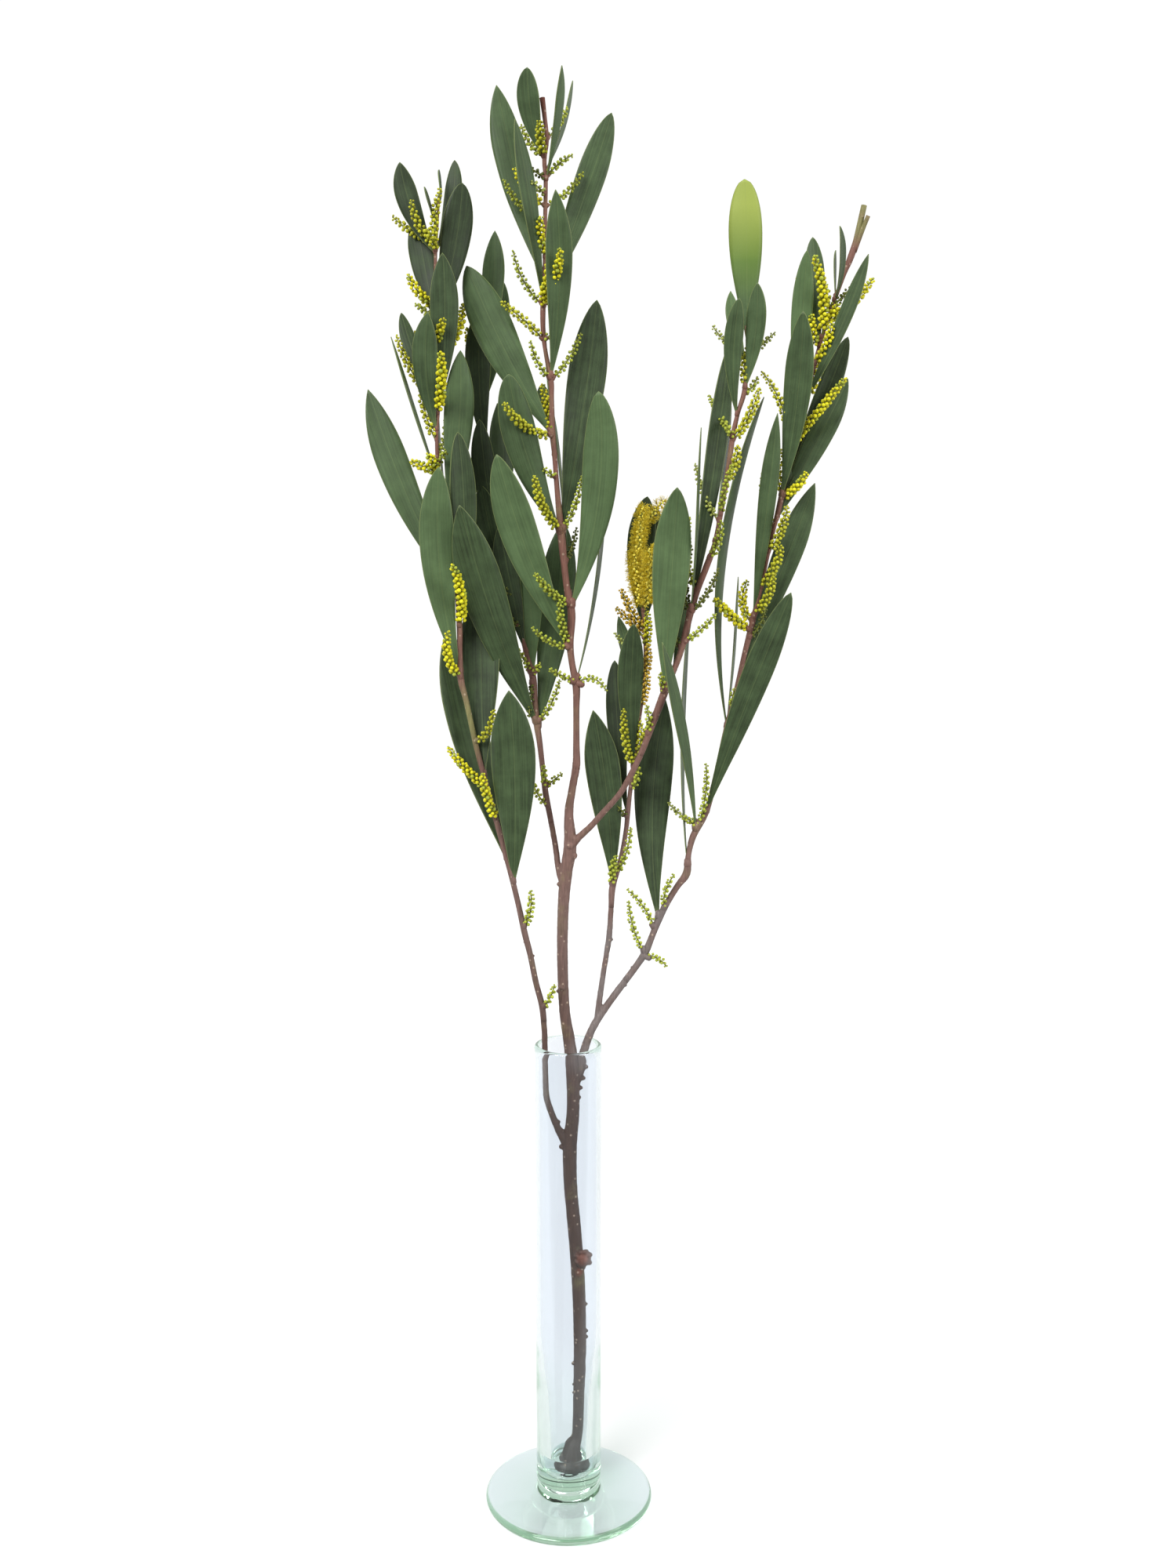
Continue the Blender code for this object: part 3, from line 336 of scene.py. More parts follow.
LEFT_BACK = Shoot(
    "left_back_shoot", LEFT_BACK_ROUTE, 430,
    leaves=(
        Leaf(487, -61.5, 612.5, -34, 25, -5, -4, 0.3), Leaf(484, -2, 603, 44, 22, 10, 2, 0.48),
        Leaf(515, -27, 612, 22, 19, -5, 1.5, 0.8), Leaf(528, -39, 601, 14, 14, 5, -1, 0.06),
        Leaf(560, -49, 624, 18, 15, 0, -2, 0.1), Leaf(580, -49.5, 660.5, 16, 14, 8, -2, 0),
        Leaf(600, -39.5, 669.5, 48, 15, -5, 4, 0.3), Leaf(640, -48.5, 722, 18, 15, 10, -3, 0.05),
        Leaf(670, -36.5, 737, 50, 13, 0, 1.5, 0.45), Leaf(690, -40, 763.5, 36, 13, -8, 1, 0.65),
    ),
    spikes=(
        Spike(438, -21.5, 458, 2, -2, "green"), Spike(450, -14, 463, 1, 0, "green"),
        Spike(450, -3, 458, 6, 0, "green"), Spike(487, -4.5, 513, 4, 2, "green"),
        Spike(514, -22.5, 491, 7, 0, "dark"), Spike(516, -29, 531, 8, 0, "green"),
        Spike(516, -15.5, 522, 6, 0, "green"), Spike(543, -34, 549, 10, 0, "dark"),
        Spike(556, -35, 566, 14, 0, "dark"), Spike(682, -56, 711, 22, -2, "gold"),
    ),
)
MIDDLE = Shoot(
    "middle_shoot", MIDDLE_ROUTE, 470,
    leaves=(
        Leaf(506, 63, 622.5, -36, 21, 5, -1, 0.8), Leaf(552, 76.5, 656, -52, 12, 84, 1, 0.4),
        Leaf(552, 91.5, 701, 12, 12, 15, 1, 0.13), Leaf(703, 99, 791, -12, 18.5, 0, 0, 0.6, young=1),
        Leaf(690, 92, 731, 8, 8, 10, -2, 0.85), Leaf(662, 97, 727, -24, 10.5, 8, -3, 0.4),
        Leaf(677, 107, 735.5, -22, 11, -8, 2, 0.62),
        Leaf(516, 67.5, 560, -1, 9, 10, 2, 0.2), Leaf(591, 93, 668, 30, 14, 85, 0, 0.2),
    ),
    spikes=(
        Spike(480, 46, 498, -20, 1, "green"), Spike(505, 54, 517, -24, 0, "green"),
        Spike(549, 71.5, 590, -16, -3, "dark_thick"), Spike(530, 62, 552, -12, -2, "dark"),
        Spike(551, 87, 577, -25, 2, "dark"), Spike(534, 86, 551, -24, 1, "green"),
        Spike(581, 88, 604, -22, 2, "green_thick"), Spike(562, 70.5, 606, -8, -3, "green"),
        Spike(603, 73, 636, 14, -2, "pale"), Spike(606, 94.5, 636, -24, -1, "green"),
        Spike(626, 97, 646, -22, 2, "gold_green_thick"), Spike(648, 109, 678, -20, 2, "gold_green_thick"),
        Spike(650, 91, 657, -18, 0, "green"), Spike(652, 80.5, 674, 30, -1, "green"),
        Spike(678, 102, 700, -11, -1, "gold_green"), Spike(674, 108, 684, -4, 1, "green"),
        Spike(692, 82, 712, -2, -1, "pale"), Spike(694, 117.5, 708.5, -4, 0, "pale"),
    ),
)
RIGHT = Shoot(
    "right_shoot", RIGHT_ROUTE, 334,
    leaves=(
        Leaf(370.5, 56.5, 503, 34, 23, -5, -6, 0.2), Leaf(434, 129, 563, -16, 17, 6, -1.5, 0.2),
        Leaf(514, 141.5, 625, 20, 17, 10, 0, 0.3), Leaf(604, 159, 683, 20, 15.5, 0, 0, 0.4),
        Leaf(616, 158.5, 706, 34, 13, 5, 1, 0.2), Leaf(668, 169, 751, -6, 8.5, -10, 2, 0.4),
        Leaf(725, 152.5, 766, -14, 8, 66, 3, 0.3), Leaf(727, 150.5, 753, 20, 6, 78, 0, 0.3),
        Leaf(617, 133, 720, -16, 16, -8, 2, 0.38), Leaf(660, 134.5, 753, -2, 12, 5, -1, 0.95),
        Leaf(700, 137.5, 760, 16, 11, 0, 0, 0.5), Leaf(548, 119.5, 664, -6, 10.5, 10, 0, 0.52),
        Leaf(485, 111.5, 673, 8, 14, 60, -13, 0.4, twist=16), Leaf(402, 71, 556, 21, 14, 80, -4, 0.5),
        Leaf(424, 55, 534.5, -40, 10, 50, 2.5, 0.5), Leaf(484, 98.6, 572, 50, 18, 86, 0, 0.25),
        Leaf(561, 119, 650, 44, 15, 86, 0, 0.32),
    ),
    spikes=(
        Spike(350, 36, 382, 4, -2, "green"), Spike(349, 59, 342, 8, -2, "green"),
        Spike(365, 35, 389, 8, 2, "green"), Spike(376, 63, 398, 8, -2, "green"),
        Spike(426, 81, 464, 4, 2, "green"), Spike(427, 66.5, 433, 8, 0, "green"),
        Spike(428, 59, 441, 20, -2, "pale"), Spike(495, 97, 508, 8, 0, "green"),
        Spike(541, 85, 559.5, 4, -1, "gold_big"), Spike(545, 103.5, 570, 19, -4, "gold"),
        Spike(536, 114.5, 555, 8, 2, "dark"), Spike(550, 119, 572, 4, 2, "gold_green_thick"),
        Spike(565, 123, 590, 0, 2, "gold_green_thick"), Spike(585, 126, 612, -2, 2, "gold_green_thick"),
        Spike(600, 112, 632, 12, -3, "pale"), Spike(617, 136.5, 631, 7, 2, "gold"),
        Spike(618, 122, 644, 13, -2, "gold_green"), Spike(640, 110, 687, -6, 5, "gold_green"),
        Spike(646, 158, 683.5, -2, 0, "gold"), Spike(672, 143, 701, 13, 3, "gold"),
        Spike(690, 149, 714, 0, 2, "gold"), Spike(700, 138, 718, 0, -2, "gold"),
        Spike(705, 138.5, 750, -14, 3, "gold_big"), Spike(714, 152, 724, 0, 1, "gold"),
        Spike(705, 130, 739, 24, -2, "gold"), Spike(722, 161, 734, 1, 0, "dark"),
        Spike(720, 145, 735, 0, 0, "green"), Spike(713, 172, 738, 16, 2, "gold"),
    ),
)
SHORT = Shoot(
    "short_shoot", SHORT_ROUTE, 380,
    leaves=(
        Leaf(391, 15, 495, 0, 20.5, 8, 2, 0.2), Leaf(461, 38.5, 545, -3, 15, 5, -2, 0.2),
        Leaf(433, 27.5, 524, 26, 12, -10, -2, 0), Leaf(500, 29.5, 549.5, 26, 8, 15, 0, 0.4),
        Leaf(540, 46, 617.5, 22, 16.5, 5, -3.5, 0.2), Leaf(545, 50.5, 612.5, 34, 10, 0, 3, 0.15),
    ),
    spikes=(
        Spike(391, 28.5, 409, 2, -1, "green_thick"), Spike(397, 37, 426, 5, 2, "green"),
        Spike(432, 30, 438, 6, 0, "dark"), Spike(448, 41, 464, 5, 2, "green"),
        Spike(461, 33, 496, -6, -2, "gold_green"), Spike(463, 42.5, 489, 9, 2, "gold_green"),
        Spike(497, 46.5, 517, 2, 1, "gold_brown"), Spike(515, 46.5, 533, 2, 1, "gold_brown"),
        Spike(530, 46, 552, 2, 1, "dark_gold"), Spike(541, 31, 565, 2, -1, "gold_brown"),
        Spike(536, 28, 554, 16, 1, "gold_brown"), Spike(520, 27, 540, 14, 0, "pale"),
        Spike(552, 39.5, 587, 4, -1.5, "open"), Spike(552, 47.5, 588, -9, 2, "open"),
        Spike(556, 43.5, 612, 2, -2.5, "open"), Spike(560, 56, 615.5, 14, -11, "open"),
    ),
)
SHOOTS = (CENTRE, LEFT_LOW, LEFT_BACK, MIDDLE, RIGHT, SHORT)

# Colour, bud diameter and reach from the stalk in millimetres, buds for each millimetre of spike, and a shade
# factor; the dark kinds are painted shade for the spikes that stand in shadow
SPIKE_KINDS = {
    "green": SpikeKind("green", 1.9, 2.5, 1.05, 1.0),
    "green_thick": SpikeKind("green", 2.0, 2.9, 1.35, 1.0),
    "dark": SpikeKind("dark", 1.8, 2.4, 1.1, 0.9),
    "dark_thick": SpikeKind("dark", 1.9, 2.8, 1.6, 0.9),
    "pale": SpikeKind("pale", 1.8, 2.4, 1.1, 1.0),
    "gold_green": SpikeKind("gold_green", 2.1, 2.9, 1.3, 1.0),
    "gold_green_thick": SpikeKind("gold_green", 2.2, 3.2, 1.6, 1.0),
    "gold": SpikeKind("gold", 2.3, 3.2, 1.6, 1.0),
    "gold_big": SpikeKind("gold", 2.6, 3.5, 1.5, 1.05),
    "dark_gold": SpikeKind("gold", 2.1, 3.0, 1.6, 0.75),
    "gold_brown": SpikeKind("brown", 2.1, 3.0, 1.5, 1.0),
    "open": SpikeKind("thread", 2.0, 2.6, 1.4, 1.0),
}

# Lumps and scars on the bare wood: x, height, depth and radius in millimetres
BUMPS = (
    (8.8, 160, -3.2, 4.6), (8.2, 157, -4.2, 3.4), (12.2, 162, -5, 2.0), (10.4, 164, -5, 1.8),
    (7, 164, -5, 1.8), (4.9, 161.5, -5, 1.6), (5.2, 157.5, -5, 1.7), (8.4, 154, -4.6, 2.0),
    (12.3, 157, -4.6, 1.8), (10.8, 130.5, 0, 1.1), (10.8, 113, 0, 1.3), (10.9, 109, 0, 1.3),
    (2.9, 90.5, 0, 1.2), (2.8, 77, 0, 0.8), (2.8, 71.5, 0, 0.8), (-5.0, 392, 1, 1.6), (-6.0, 327, 0, 1.2),
    (-3.6, 329, -2.4, 2.0), (-3.6, 231, 0, 2.1), (-13.9, 263.5, -1, 1.3), (10.9, 281, 2, 1.5),
    (9.0, 274, 2, 1.7), (7.4, 268, 1, 1.6), (6.6, 262, 1, 1.4), (-6.2, 246.5, -1, 1.7),
    (-4.2, 241.5, -1, 1.6), (-25.3, 357, -7, 1.2), (-20.8, 348.5, -6, 1.2), (38.4, 341.5, 12, 1.2),
    (34.3, 330.5, 10, 1.1), (26.2, 358.5, 10, 1.0), (20.6, 335, 8, 0.9), (3.4, 409, -1, 2.4),
    (1.5, 415, -2.5, 2.6), (-9.9, 431, 6, 1.3),
)

# Colours of the bark in patches, and where each lies: x, height, depth and reach in millimetres. Cut branches
# left red scar wood, some bark stays green, and low on the shoots the outer bark is worn to a light grey.
SCARS = ((8.8, 160, -6, 5.5), (7, 151, -4, 3.5), (-13.3, 834, -4, 14))
GREEN_BARK = ((-56, 489, -12, 26), (164, 766, 8, 13), (166, 776, 8, 11), (47, 352, 13, 5))
WORN_BARK = (
    (9.5, 290, 3, 16), (17, 308, 6, 20), (20, 330, 8, 18), (32, 331, 10, 20), (45, 349, 13, 20),
    (55, 373, 15, 16), (24, 358, 10, 16),
)
# How steeply a patch fades out towards its reach
PATCH_EDGE = 1.3


def linear(code):
    """Linear RGB of an sRGB hex colour."""
    shares = [int(code[i:i + 2], 16) / 255 for i in (1, 3, 5)]
    return tuple(s / 12.92 if s <= 0.04045 else ((s + 0.055) / 1.055) ** 2.4 for s in shares)


def shade(name, description, code):
    """A colour that can be changed in the sidebar."""
    return FloatVectorProperty(
        name=name, description=description, subtype="COLOR", size=3, min=0.0, max=1.0, default=linear(code))


class LeafSettings(bpy.types.PropertyGroup):
    """Sizes and colours of the leaf blades."""

    thickness: FloatProperty(
        name="Thickness", description="Thickness of a blade", default=0.5 * MM, min=0.2 * MM, max=MM,
        unit="LENGTH")
    cup: FloatProperty(
        name="Cup", description="How far a blade's margins lift, as a share of its width", default=0.07,
        min=0.0, max=0.3, subtype="FACTOR")
    wave: FloatProperty(
        name="Wave", description="Height of the ripples along a margin", default=0.45 * MM, min=0.0,
        max=2 * MM, unit="LENGTH")
    lit: shade("Light green", "Colour of the palest blades", "#5A714A")
    deep: shade("Deep green", "Colour of the darkest blades", "#2D3825")
    margin: shade("Margin", "Colour of the thin horny margin and of the nerves", "#7E8A56")
    young: shade("Young tip", "Colour of the tip of a blade that is still soft", "#97A54F")
    tender: shade("Young green", "Colour of the middle of a blade that is still soft", "#5F7936")


class BudSettings(bpy.types.PropertyGroup):
    """Colours of the flower buds, by ripeness, and of the open threads."""

    green: shade("Green", "Buds that are still closed hard", "#A0AA38")
    # The dark green is painted shade, for buds on spikes that stand in shadow
    dark: shade("Dark green", "Buds on the shaded spikes", "#586022")
    pale: shade("Pale green", "The youngest buds", "#A0A955")
    gold_green: shade("Gold green", "Buds that are turning", "#B6B62B")
    gold: shade("Gold", "Buds that are about to open", "#D2CC20")
    brown: shade("Gold brown", "Buds that have browned", "#B8982F")
    stalk: shade("Stalk", "Stalk of a spike", "#7E8438")
    thread: shade("Threads", "Tips of the threads of the open flowers", "#FFF26A")
    thread_foot: shade("Thread feet", "Feet of the threads of the open flowers", "#F2E43E")
    thread_length: FloatProperty(
        name="Thread length", description="Length of the threads of an open flower", default=3.6 * MM, min=MM,
        max=6 * MM, unit="LENGTH")


class WoodSettings(bpy.types.PropertyGroup):
    """Relief and colours of the bark."""

    voxel: FloatProperty(
        name="Voxel", description="Grain size with which the fork is fused", default=0.5 * MM, min=0.3 * MM,
        max=2 * MM, unit="LENGTH")
    relief: FloatProperty(
        name="Relief", description="Height of the uneven bark", default=0.35 * MM, min=0.0, max=MM,
        unit="LENGTH")
    # The older bark low down is also painted shade for the wood inside the vase
    old_and_shaded: shade("Old bark", "Bark low on the branch", "#3E2B22")
    new: shade("New bark", "Bark of the leafy shoots", "#705952")
    shoot: shade("Shoot bark", "Bark of the thin upper shoots", "#785246")
    green: shade("Green bark", "Bark that has kept its green", "#7E7A4E")
    worn: shade("Worn bark", "Bark whose outer skin is worn off", "#6D6360")
    scar: shade("Scar", "Wood where a branch was cut", "#68392A")
    # The wet wood colour is also painted shade for the wood inside the vase, up to well above the water
    wet: shade("Wet wood", "Wood that is wet through", "#231A16")
    cork: shade("Corky dots", "Small pale dots on the bark", "#B9A48F")


class GlassSettings(bpy.types.PropertyGroup):
    """Tint of the glass and the water."""

    tint: shade("Tint", "Colour that the glass takes on where it is thick", "#5EBC6C")
    density: FloatProperty(
        name="Depth of tint", description="How fast the tint builds up, for each metre of glass",
        default=11.5, min=0.0, max=200.0)
    water_tint: shade("Water tint", "Colour that the water takes on where it is deep", "#E4EFE0")
    water_density: FloatProperty(
        name="Depth of water tint", description="How fast that builds up, for each metre of water",
        default=4.0, min=0.0, max=200.0)


class StageSettings(bpy.types.PropertyGroup):
    """Floor and light."""

    floor_size: FloatProperty(
        name="Floor", description="Length of the floor's side", default=8.0, min=1.0, max=50.0, unit="LENGTH")
    floor_gap: FloatProperty(
        name="Floor gap", description="Air between the floor and the glass", default=0.2 * MM, min=0.0,
        max=MM, unit="LENGTH")
    sky: FloatProperty(
        name="Backdrop light", description="Strength of the white light from behind", default=1.04, min=0.0,
        max=5.0)
    room: FloatProperty(
        name="Room light", description="Strength of the white light from the front", default=0.34, min=0.0,
        max=5.0)
    key: FloatProperty(
        name="Key light", description="Strength of the large soft light", default=3.3, min=0.0, max=50.0)
    fill: FloatProperty(
        name="Fill light", description="Strength of the light from the other side", default=1.6, min=0.0,
        max=50.0)


SETTINGS = {
    "wattle_leaf": LeafSettings, "wattle_bud": BudSettings, "wattle_wood": WoodSettings,
    "wattle_glass": GlassSettings, "wattle_stage": StageSettings,
}


# Geometry that the pieces share

def seen(x, height, depth):
    """The place at a depth, in metres, that is seen at x and height in the upright plane of the axis."""
    board = Vector((x, 0.0, height + BOARD_ZERO))
    return (EYE + (board - EYE) * ((depth - EYE.y) / -EYE.y)) * MM


def spline_value(before, start, end, after, t):
    """Catmull-Rom value between start and end."""
    slope_in, slope_out = (end - before) / 2, (after - start) / 2
    return (start * (2 * t**3 - 3 * t**2 + 1) + slope_in * (t**3 - 2 * t**2 + t)
            + end * (3 * t**2 - 2 * t**3) + slope_out * (t**3 - t**2))


def smooth_rows(points, longest):
    """Points along a smooth curve through the given ones, none further apart than longest."""
    rows = [Vector(point) for point in points]
    rows = [rows[0] * 2 - rows[1], *rows, rows[-1] * 2 - rows[-2]]
    found = []
    for before, start, end, after in zip(rows, rows[1:], rows[2:], rows[3:]):
        steps = max(1, round((end - start).length / longest))
        found += [spline_value(before, start, end, after, step / steps) for step in range(steps)]
    return [*found, rows[-2]]


def smoothed(route):
    """Stations along a smooth curve through the route's points."""
    return [Station(seen(x, height, depth), radius * MM, height)
            for x, height, depth, radius in smooth_rows(route, ROUTE_STEP)]


def station_at(stations, height):
    """The station at a height, read between its neighbours."""
    for low, high in zip(stations, stations[1:]):
        if low.height <= height <= high.height:
            share = (height - low.height) / (high.height - low.height)
            radius = low.radius + (high.radius - low.radius) * share
            return Station(low.place.lerp(high.place, share), radius, height)
    return stations[0] if height < stations[0].height else stations[-1]


def ends_of(growth, stations):
    """Where a leaf or a spike leaves its shoot, and where its tip is."""
    return station_at(stations, growth.height).place, seen(growth.tip_x, growth.tip_z, growth.depth)


def bowed(start, end, bow, t):
    """A point on the curve from start to end that bows to its right by bow millimetres."""
    across = (end - start).cross(EYE * MM - start).normalized()
    middle = (start + end) / 2 + across * (2 * bow * MM)
    return start * (1 - t)**2 + middle * (2 * t * (1 - t)) + end * t**2


def bowed_frame(start, end, bow, t):
    """A point on that curve, the way along it there, and the way across it as it faces the eye."""
    middle = bowed(start, end, bow, t)
    along = (bowed(start, end, bow, t + LOOK_ALONG) - bowed(start, end, bow, t - LOOK_ALONG)).normalized()
    return middle, along, along.cross(EYE * MM - middle).normalized()


def outline_share(t, point=BLUNT):
    """Share of a leaf's full width at t along it: a long taper below, and above it a rounder tip, which is
    sharper for a larger point."""
    if t < WIDEST:
        return STALK_SHARE + (1 - STALK_SHARE) * math.sin(math.pi / 2 * t / WIDEST) ** TAPER_POWER
    return max(TIP_SHARE, max(0.0, 1 - ((t - WIDEST) / (1 - WIDEST)) ** 2) ** point)


def arc(centre, radius, first, last, count):
    """Points on an arc in the profile plane, its angles in degrees from the outward direction."""
    angles = [math.radians(first + (last - first) * i / (count - 1)) for i in range(count)]
    return [(centre[0] + radius * math.cos(a), centre[1] + radius * math.sin(a)) for a in angles]


# Working steps, as by hand

def deselect():
    bpy.ops.object.select_all(action="DESELECT")


def activate(*items):
    """Select these objects alone, the first of them active."""
    deselect()
    for item in items:
        item.select_set(True)
    bpy.context.view_layer.objects.active = items[0]


def pick(test):
    """In edit mode, select just the vertices whose place passes the test."""
    mesh = bpy.context.object.data
    shape = bmesh.from_edit_mesh(mesh)
    for vertex in shape.verts:
        vertex.select_set(False)
    for vertex in shape.verts:
        if test(vertex.co):
            vertex.select_set(True)
    shape.select_flush_mode()
    bmesh.update_edit_mesh(mesh)


def modified(item, kind, **settings):
    """Add a modifier to the object and apply it."""
    activate(item)
    bpy.ops.object.modifier_add(type=kind)
    change = item.modifiers[-1]
    for name, value in settings.items():
        setattr(change, name, value)
    bpy.ops.object.modifier_apply(modifier=change.name)


def joined(name, items):
    """Join the objects into one of that name."""
    activate(*items)
    if len(items) > 1:
        bpy.ops.object.join()
    item = bpy.context.object
    item.name = item.data.name = name
    return item


def finished(item, slot, material, *nodes, angle=None):
    """Put a piece's place into its mesh, smooth it, give it its finish, and let it stand for its nodes."""
    activate(item)
    bpy.ops.object.transform_apply(location=True, rotation=True, scale=True)
    if angle is None:
        bpy.ops.object.shade_smooth()
    else:
        bpy.ops.object.shade_smooth_by_angle(angle=math.radians(angle))
    item.data.materials.clear()
    item.data.materials.append(material)
    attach(item, BODY)
    if nodes:
        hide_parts(*nodes)
    deselect()


def placed(name, data):
    """A new object in the scene that holds this mesh or curve, selected alone."""
    item = bpy.data.objects.new(name, data)
    bpy.context.scene.collection.objects.link(item)
    activate(item)
    return item


def sealed():
    """The object in hand, with its doubled points merged and its faces turned outwards."""
    bpy.ops.object.mode_set(mode="EDIT")
    bpy.ops.mesh.select_all(action="SELECT")
    bpy.ops.mesh.remove_doubles(threshold=DOUBLED * MM)
    bpy.ops.mesh.normals_make_consistent(inside=False)
    bpy.ops.object.mode_set(mode="OBJECT")
    return bpy.context.object


def spun(name, profile):
    """A solid of revolution about the vase's axis from (radius, height) points in millimetres."""
    mesh = bpy.data.meshes.new(name)
    points = [(radius * MM, 0.0, height * MM) for radius, height in profile]
    mesh.from_pydata(points, [(i, i + 1) for i in range(len(points) - 1)], [])
    placed(name, mesh)
    bpy.ops.object.mode_set(mode="EDIT")
    bpy.ops.mesh.select_all(action="SELECT")
    bpy.ops.mesh.spin(steps=SPIN_STEPS, angle=math.tau, center=(0, 0, 0), axis=(0, 0, 1))
    bpy.ops.object.mode_set(mode="OBJECT")
    return sealed()


def rod(name, stations, resolution):
    """A closed round rod along the stations."""
    curve = bpy.data.curves.new(name, "CURVE")
    curve.dimensions = "3D"
    curve.bevel_depth = MM
    curve.bevel_resolution = resolution
    curve.use_fill_caps = True
    spline = curve.splines.new("POLY")
    spline.points.add(len(stations) - 1)
    for point, station in zip(spline.points, stations):
        point.co = (*station.place, 1.0)
        point.radius = station.radius / MM
    placed(name, curve)
    bpy.ops.object.convert(target="MESH")
    return sealed()


def lump(name, x, height, depth, radius):
    """A small rounded swelling, flattened along the stem."""
    bpy.ops.mesh.primitive_ico_sphere_add(subdivisions=3, radius=radius * MM, location=seen(x, height, depth))
    item = bpy.context.object
    item.name = name
    bpy.ops.object.mode_set(mode="EDIT")
    bpy.ops.mesh.select_all(action="SELECT")
    bpy.ops.transform.resize(value=(1.0, 1.0, BUMP_FLATTENED))
    bpy.ops.transform.vertex_random(offset=BUMP_UNEVEN * radius * MM, seed=round(height))
    bpy.ops.object.mode_set(mode="OBJECT")
    return item


def mark(item, label, values):
    """Give each vertex of the object its number, or its colour, under that label."""
    values = np.asarray(values, np.float32)
    if values.ndim == 1:
        item.data.attributes.new(label, "FLOAT", "POINT").data.foreach_set("value", values)
    else:
        colours = np.column_stack((values, np.ones(len(values), np.float32)))
        item.data.attributes.new(label, "FLOAT_COLOR", "POINT").data.foreach_set("color", colours.ravel())


def mesh_of(name, points, faces, numbers):
    """A new mesh object from lists of points and faces, with the numbers of its vertices by their labels."""
    mesh = bpy.data.meshes.new(name)
    mesh.from_pydata(points, [], faces)
    mesh.update()
    item = placed(name, mesh)
    for label, values in numbers.items():
        mark(item, label, values)
    return item


def points_of(item):
    """The object's vertices as an array."""
    places = np.empty(len(item.data.vertices) * 3)
    item.data.vertices.foreach_get("co", places)
    return places.reshape(-1, 3)


def stamped(blank, frames):
    """Points and faces of a copy of the blank at each 4 x 4 frame."""
    base = points_of(blank)
    frames = np.array(frames)
    points = np.einsum("nij,vj->nvi", frames[:, :3, :3], base) + frames[:, None, :3, 3]
    corners = [tuple(face.vertices) for face in blank.data.polygons]
    faces = [tuple(corner + copy * len(base) for corner in face)
             for copy in range(len(frames)) for face in corners]
    return points.reshape(-1, 3), faces


# Finishes

def add_node(tree, kind, sockets=None, **properties):
    """Add a node, set its properties and sockets, and link the sockets that are given an output."""
    made = tree.nodes.new(kind)
    for name, value in properties.items():
        setattr(made, name, value)
    for name, value in (sockets or {}).items():
        socket = made.inputs[name]
        if isinstance(value, bpy.types.NodeSocket):
            tree.links.new(value, socket)
        else:
            socket.default_value = (*value, 1.0) if socket.type == "RGBA" else value
    return made


def new_material(name):
    """An empty node material, its tree and its output."""
    material = bpy.data.materials.new(name)
    material.use_nodes = True
    tree = material.node_tree
    tree.nodes.clear()
    return material, tree, tree.nodes.new("ShaderNodeOutputMaterial")


